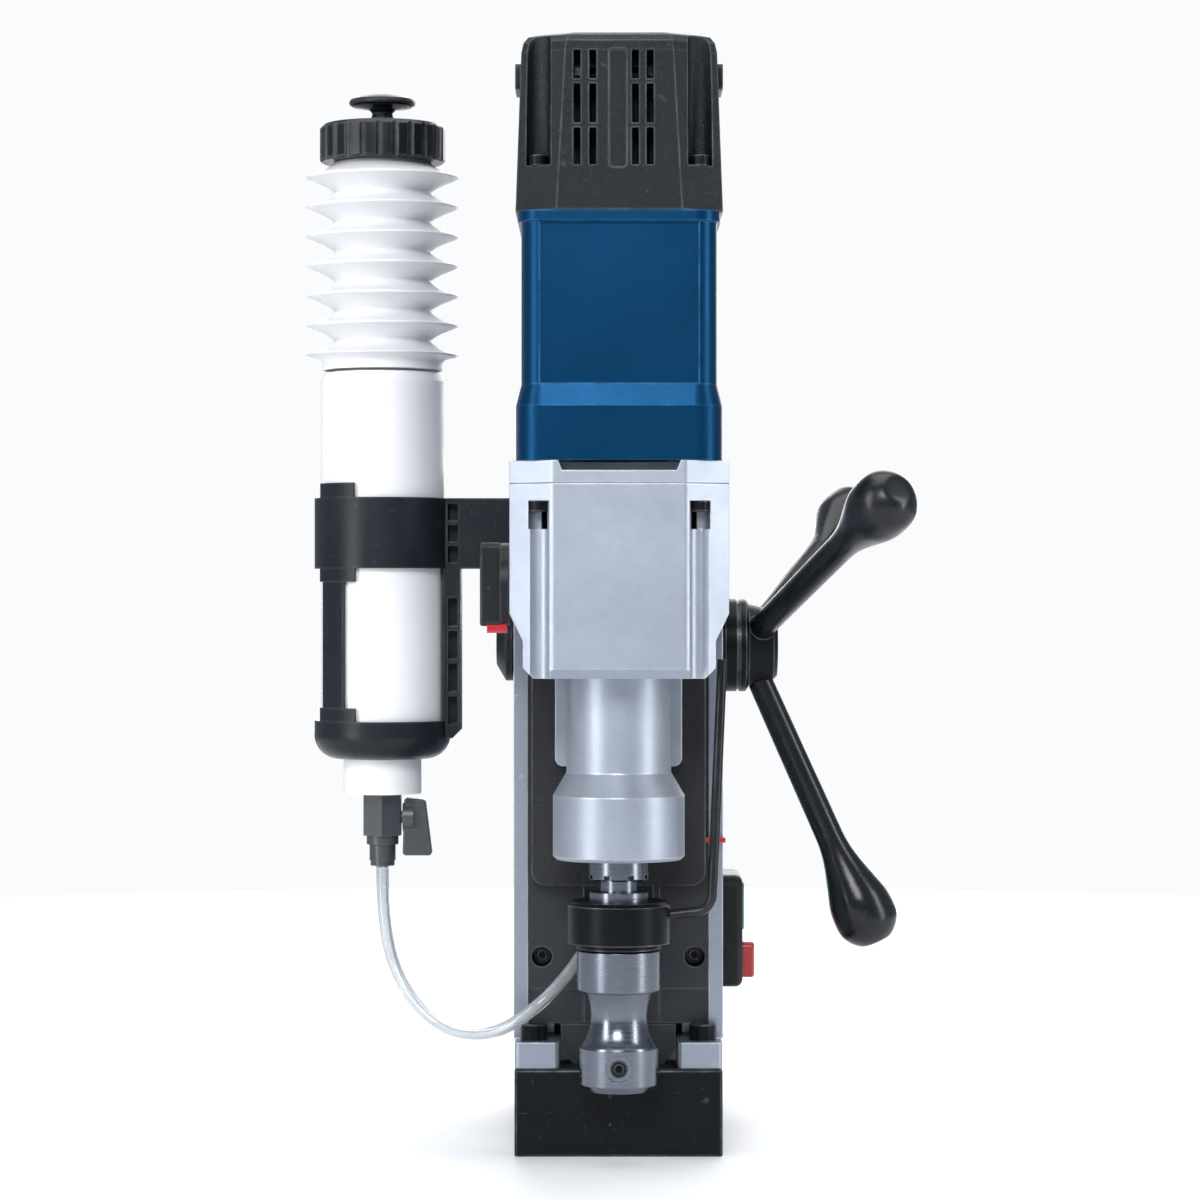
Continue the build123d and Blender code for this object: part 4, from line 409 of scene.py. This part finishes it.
def column_silver():
    """Smooth silver paint over a milled aluminium column."""
    look = Surface("column_silver", srgb(146, 154, 167), 0.36, 0.75)
    look.mottle(9.0, 0.03).uneven_gloss(24.0, 0.06).scuffed(srgb(210, 214, 220), 0.25)
    look.round_edges(0.0007).grain(1100.0, 0.16, 0.00025)
    return look.wear_and_edge_highlight(srgb(226, 229, 233), 0.0011, 0.6, -0.12).done()


def magnet_black():
    """Black enamel on a steel block, rubbed pale along its edges, with a painted highlight there
    too.
    """
    look = Surface("magnet_black", srgb(13, 17, 22), 0.4, 0.1)
    look.mottle(16.0, 0.16).uneven_gloss(22.0, 0.09).scuffed(CHALK, 0.16)
    look.round_edges(0.001).grain(900.0, 0.2, 0.00025).grain(120.0, 0.1, 0.0005)
    look.sockets(Specular_IOR_Level=0.14)
    return look.wear_and_edge_highlight(srgb(120, 126, 134), 0.0013, 0.6, -0.1, 0.8).done()


def guide_black():
    """Blackened ground steel with fine lengthways grinding."""
    look = Surface("guide_black", srgb(38, 41, 46), 0.42, 0.3)
    grinding = look.noise(420.0, 3.0, 0.6, (9.0, 9.0, 0.35))
    look.mottle(20.0, 0.14).uneven_gloss(26.0, 0.06)
    look.round_edges(0.0007).bump(grinding, 0.16, 0.00012)
    return look.wear_and_edge_highlight(srgb(128, 131, 136), 0.001, 0.6, -0.08, 0.9).done()


def slide_black():
    """Black powder coat with a coarse orange-peel skin."""
    look = Surface("slide_black", srgb(13, 17, 22), 0.55, 0.1)
    look.mottle(18.0, 0.12).uneven_gloss(34.0, 0.06)
    look.round_edges(0.0009).grain(520.0, 0.4, 0.0006).pebbled(900.0, 0.2)
    return look.wear_and_edge_highlight(srgb(104, 107, 112), 0.0012, 0.5, -0.1, 0.6).done()


def motor_blue():
    """Blue metallic paint with fine flake."""
    look = Surface("motor_blue", srgb(0, 43, 77), 0.36, 0.6)
    flake = look.remap(look.cells(2600.0), 0.0, 0.75, 0.0, 0.15)
    look.mix_colour(flake, srgb(12, 104, 152))
    look.mottle(10.0, 0.05).uneven_gloss(18.0, 0.05)
    look.round_edges(0.0009).grain(1300.0, 0.16, 0.0002).grain(200.0, 0.05, 0.0004)
    look.sockets(Specular_IOR_Level=0.15)
    return look.wear_and_edge_highlight(srgb(66, 140, 200), 0.0011, 0.4, -0.05).done()


def black_plastic(name, colour, rough, pebble, scuffs=0.12, edge=0.45):
    """Moulded black plastic: a pebbled skin, drifting gloss and greyed edges, partly wear and
    partly painted highlight.
    """
    look = Surface(name, colour, rough)
    look.mottle(24.0, 0.1).uneven_gloss(28.0, 0.07).scuffed(CHALK, scuffs)
    look.round_edges(0.0008).pebbled(1500.0, pebble, 0.0003).grain(420.0, pebble * 0.35, 0.0003)
    look.sockets(Specular_IOR_Level=0.24)
    return look.wear_and_edge_highlight(srgb(92, 96, 102), 0.0012, edge, -0.06).done()


def handle_black():
    """Smooth lever grips, with gloss that drifts as handling leaves it."""
    look = Surface("handle_black", srgb(17, 20, 24), 0.27)
    look.mottle(26.0, 0.12).uneven_gloss(34.0, 0.08).scuffed(CHALK, 0.12, 26.0)
    look.round_edges(0.0006).grain(700.0, 0.09, 0.0003).grain(60.0, 0.05, 0.0008)
    look.sockets(Specular_IOR_Level=0.3, Coat_Weight=0.1, Coat_Roughness=0.2)
    return look.done()


def oxide_black(name, rough=0.36):
    """Turned steel, blackened, with a trace of the tool's marks."""
    look = Surface(name, srgb(13, 17, 22), rough, 0.4)
    look.mottle(40.0, 0.18).turned(26.0, 0.08, amount=0.05).uneven_gloss(60.0, 0.06)
    look.sockets(Specular_IOR_Level=0.18)
    return look.wear_and_edge_highlight(srgb(140, 143, 148), 0.0009, 0.55, -0.1, 1.0).done()


def bright_steel(name="bright_steel", colour=(112, 118, 128), rough=0.24):
    """Bright turned steel with fine circular marks and faint stains."""
    look = Surface(name, srgb(*colour), rough, 1.0)
    look.mottle(35.0, 0.07).round_edges(0.0005).turned(30.0, 0.1, amount=0.06)
    look.uneven_gloss(50.0, 0.04)
    stain = look.remap(look.noise(55.0, 6.0, 0.7, shift=8.0), 0.6, 0.78, 0.0, 0.25)
    return look.mix_colour(stain, srgb(126, 122, 118)).done()


def plain_metal(name, colour, rough):
    """Small metal parts: mottled, slightly stained, with a fine grain."""
    look = Surface(name, srgb(*colour), rough, 1.0)
    look.mottle(60.0, 0.1).uneven_gloss(80.0, 0.07)
    return look.round_edges(0.0003).grain(1600.0, 0.15, 0.0001).done()


def laminated(name):
    """Stacked thin sheets, seen as fine level lines."""
    look = Surface(name, srgb(110, 112, 116), 0.42, 0.9)
    sheets = look.noise(40.0, 1.0, 0.4, (0.02, 0.02, 60.0))
    look.mottle(30.0, 0.12).bump(sheets, 0.6, 0.0002)
    return look.wear_and_edge_highlight(srgb(160, 162, 166), 0.0008, 0.4).done()


def bottle_milky():
    """Blown polyethylene: cloudy, soft and slightly uneven in thickness."""
    look = Surface("bottle_milky", srgb(237, 238, 241), 0.4)
    look.mottle(22.0, 0.02).uneven_gloss(30.0, 0.06)
    look.grain(130.0, 0.12, 0.0006).grain(900.0, 0.06, 0.0003)
    look.sockets(
        Subsurface_Weight=0.4,
        Subsurface_Radius=(1.0, 1.0, 1.0),
        Subsurface_Scale=0.004,
        Transmission_Weight=0.0,
        IOR=1.5,
    )
    return look.done()


def hose_clear():
    """Clear soft tube, faintly cloudy inside."""
    look = Surface("hose_clear", srgb(236, 240, 243), 0.12)
    look.mottle(60.0, 0.03).uneven_gloss(90.0, 0.04).grain(240.0, 0.08, 0.0003)
    look.sockets(Transmission_Weight=0.82, IOR=1.42, Subsurface_Weight=0.0)
    return look.done()


def valve_plastic():
    """Smoke-grey moulded valve body."""
    look = Surface("valve_plastic", srgb(56, 59, 64), 0.36)
    look.mottle(70.0, 0.12).uneven_gloss(60.0, 0.07).round_edges(0.0006)
    look.pebbled(1600.0, 0.12).sockets(Coat_Weight=0.15, Coat_Roughness=0.25)
    return look.wear_and_edge_highlight(srgb(110, 114, 120), 0.0009, 0.5).done()


def signal(name, colour, lighter):
    """Coloured gloss plastic for the keys, pale on the edges from wear and a painted highlight.
    """
    look = Surface(name, srgb(*colour), 0.3)
    look.mottle(80.0, 0.07).uneven_gloss(70.0, 0.06).round_edges(0.0006)
    look.grain(900.0, 0.08, 0.0002).sockets(Coat_Weight=0.25, Coat_Roughness=0.15)
    return look.wear_and_edge_highlight(srgb(*lighter), 0.0009, 0.5).done()


def rubber():
    """Dull black rubber with a dusty bloom."""
    look = Surface("rubber", srgb(34, 34, 36), 0.72)
    bloom = look.remap(look.noise(48.0, 6.0, 0.7), 0.5, 0.8, 0.0, 0.2)
    look.mix_colour(bloom, srgb(96, 95, 92)).pebbled(1400.0, 0.2)
    return look.done()


def copper():
    """Enamelled winding wire, packed in level turns."""
    look = Surface("copper", srgb(176, 92, 48), 0.3, 0.9)
    wires = look.noise(60.0, 1.0, 0.4, (0.4, 0.4, 30.0))
    look.mottle(40.0, 0.12).bump(wires, 0.7, 0.0003)
    return look.done()


def potting():
    """Dull cast resin with small pits."""
    look = Surface("potting", srgb(52, 52, 56), 0.5)
    pits = look.remap(look.cells(300.0), 0.0, 0.12)
    look.mottle(26.0, 0.15).uneven_gloss(30.0, 0.1).bump(pits, 0.4, 0.0004)
    return look.done()


def board_green():
    """Solder-masked board with faint tracks."""
    look = Surface("board_green", srgb(16, 84, 48), 0.32)
    tracks = look.remap(look.noise(90.0, 1.0, 0.3, (1.0, 1.0, 6.0)), 0.55, 0.58)
    look.mix_colour(look.math("MULTIPLY", tracks, 0.4), srgb(60, 150, 88))
    return look.mottle(30.0, 0.06).bump(tracks, 0.2, 0.0001).done()


LOOKS = {
    "cast_silver": cast_silver(),
    "column_silver": column_silver(),
    "magnet_black": magnet_black(),
    "guide_black": guide_black(),
    "slide_black": slide_black(),
    "motor_blue": motor_blue(),
    "cap_black": black_plastic("cap_black", srgb(15, 21, 27), 0.4, 0.7, 0.1, 0.9),
    "box_black": black_plastic("box_black", srgb(22, 25, 29), 0.4, 0.2),
    "holder_black": black_plastic("holder_black", srgb(25, 29, 35), 0.34, 0.14, 0.1, 0.6),
    "cap_ribbed": black_plastic("cap_ribbed", srgb(20, 23, 27), 0.32, 0.1, 0.1, 0.6),
    "handle_black": handle_black(),
    "ring_black": oxide_black("ring_black", 0.34),
    "hub_black": oxide_black("hub_black", 0.4),
    "screw_black": oxide_black("screw_black", 0.38),
    "rod_black": black_plastic("rod_black", srgb(16, 18, 22), 0.22, 0.04, 0.12, 0.5),
    "bright_steel": bright_steel(),
    "gear_steel": bright_steel("gear_steel", (112, 115, 120), 0.34),
    "screw_zinc": plain_metal("screw_zinc", (176, 180, 184), 0.32),
    "brass": plain_metal("brass", (190, 156, 92), 0.28),
    "copper": copper(),
    "potting": potting(),
    "bottle_milky": bottle_milky(),
    "hose_clear": hose_clear(),
    "valve_plastic": valve_plastic(),
    "signal_red": signal("signal_red", (178, 30, 38), (214, 96, 98)),
    "signal_green": signal("signal_green", (20, 128, 62), (96, 178, 122)),
    "rubber": rubber(),
    "board_green": board_green(),
    "laminations": laminated("laminations"),
}


def dress(thing, look):
    """Gives a piece one material over its whole surface."""
    thing.data.materials.clear()
    thing.data.materials.append(look)


for node, thing in frame["nodes"].items():
    dress(thing, LOOKS[SLOT_OF[node]])
dress(hose, LOOKS["hose_clear"])


# ---- Bottle bellows ----
PLEATS = 7
VALLEY_SHARE = 0.635  # the valleys' radius over the tips'
TIP_SHARE = 0.995
PLEAT_POWER = 1.45  # over 1, so the tips are sharper than the valleys
SHOULDER_SHARE = 0.42
SHOULDER_POWER = 6
BELLOWS_SKIN = 0.00135


def make_bellows():
    """Thin folded pleats with sharp tips and wide, soft valleys."""
    low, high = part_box("bottle_bellows")
    centre = ((low[0] + high[0]) / 2, (low[1] + high[1]) / 2)
    tip = (high[0] - low[0]) / 2
    valley = tip * VALLEY_SHARE
    pitch = (high[2] - low[2]) / PLEATS
    samples = 20
    outer = []
    for step in range(PLEATS * samples + 1):
        phase = step / samples
        rise = 1.0 - abs(2.0 * (phase % 1.0) - 1.0)
        # the lowest pleat stands right on the bottle's shoulder, with no valley under it
        if phase < 0.5:
            swell = SHOULDER_SHARE + (1.0 - SHOULDER_SHARE) * rise**SHOULDER_POWER
        else:
            swell = rise**PLEAT_POWER
        outer.append((valley + (tip - valley) * swell * TIP_SHARE, low[2] + phase * pitch))
    inner = [(radius - BELLOWS_SKIN, z) for radius, z in reversed(outer)]

    def wobble(angle, z):
        """Blown plastic is never quite round."""
        drift = math.sin(2 * angle + 40 * z) + 0.6 * math.sin(3 * angle - 90 * z + 1.0)
        return -0.00012 + 0.00011 * drift

    bellows = lathe("soft_bellows", outer + inner, centre, 120, wobble)
    dress(bellows, LOOKS["bottle_milky"])
    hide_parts("bottle_bellows")
    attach(bellows, "stand")
    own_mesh(bellows)


make_bellows()


# ---- Air guide inside the motor cap ----
def make_air_guide():
    """A ribbed dark sleeve behind the cooling slots, round the brushes."""
    low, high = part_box("motor_cap")
    brushes_low, brushes_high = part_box("brush_holders")
    centre = (
        (brushes_low[0] + brushes_high[0]) / 2,
        (brushes_low[1] + brushes_high[1]) / 2,
    )
    outer, wall, ribs = 0.0315, 0.0014, 36
    bottom, top = low[2] + 0.008, high[2] - 0.018
    steps = ribs * 6
    vertices = []
    profile = [(outer, bottom), (outer, top), (outer - wall, top), (outer - wall, bottom)]
    fine = []
    for (radius_a, z_a), (radius_b, z_b) in zip(profile, profile[1:] + profile[:1]):
        for part in range(8):
            share = part / 8
            fine.append((radius_a + (radius_b - radius_a) * share, z_a + (z_b - z_a) * share))
    for radius, z in fine:
        for step in range(steps):
            angle = math.tau * step / steps
            rib = 0.0012 if step % 6 < 2 and radius > outer - wall / 2 else 0.0
            reach = radius + rib
            vertices.append(
                (centre[0] + reach * math.cos(angle), centre[1] + reach * math.sin(angle), z)
            )
    faces = grid_faces(len(fine), steps, closed_rows=True)
    guide = add_mesh("air_guide", vertices, faces, smooth=False)
    dress(guide, LOOKS["box_black"])
    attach(guide, "carriage")


make_air_guide()


# ---- Floor, light and sky ----
def make_floor():
    """A plain pale studio floor."""
    base = CAD_BOX[0][2]
    reach, steps = 1.5, 96
    rim = [math.tau * step / steps for step in range(steps)]
    edge = [(reach * math.cos(angle), reach * math.sin(angle), base) for angle in rim]
    floor = add_mesh("studio_floor", edge, [tuple(range(steps))], smooth=False)
    look = Surface("studio_floor", srgb(236, 237, 239), 0.6)
    look.mottle(2.0, 0.012).grain(300.0, 0.05, 0.0003)
    dress(floor, look.done())


def area_light(name, place, aim, size, power):
    """A soft rectangular light that faces a point."""
    data = bpy.data.lights.new(name, "AREA")
    data.shape = "RECTANGLE"
    data.size, data.size_y = size
    data.energy = power
    lamp = bpy.data.objects.new(name, data)
    lamp.location = place
    lamp.rotation_euler = (Vector(aim) - Vector(place)).to_track_quat("-Z", "Y").to_euler()
    SCENE.collection.objects.link(lamp)


def make_sky():
    """A soft sky for light; the camera sees it as a paler plain background."""
    world = bpy.data.worlds.new("studio")
    world.use_nodes = True
    tree = world.node_tree
    soft = tree.nodes["Background"]
    soft.inputs["Color"].default_value = srgb(228, 236, 246)
    soft.inputs["Strength"].default_value = 0.34
    pale = tree.nodes.new("ShaderNodeBackground")
    pale.inputs["Color"].default_value = srgb(250, 251, 252)
    pale.inputs["Strength"].default_value = 1.0
    seen = tree.nodes.new("ShaderNodeLightPath")
    blend = tree.nodes.new("ShaderNodeMixShader")
    tree.links.new(seen.outputs["Is Camera Ray"], blend.inputs[0])
    tree.links.new(soft.outputs[0], blend.inputs[1])
    tree.links.new(pale.outputs[0], blend.inputs[2])
    tree.links.new(blend.outputs[0], tree.nodes["World Output"].inputs[0])
    SCENE.world = world


make_floor()
make_sky()
# Each light: name, place, size and power in watts
MIDDLE = (0.0, -0.06, 0.26)
LIGHTS = (
    ("strip_left", (-1.25, -1.1, 0.5), (0.4, 1.7), 18.0),
    ("strip_right", (1.35, -0.7, 0.5), (0.3, 1.7), 14.0),
    ("front_high", (-0.25, -2.3, 1.5), (1.0, 0.8), 34.0),
    ("top_soft", (0.0, 0.0, 1.9), (1.6, 1.4), 20.0),
    ("back_soft", (0.3, 1.7, 0.9), (1.6, 1.4), 24.0),
)
for light_name, light_place, light_size, light_power in LIGHTS:
    area_light(light_name, light_place, MIDDLE, light_size, light_power)
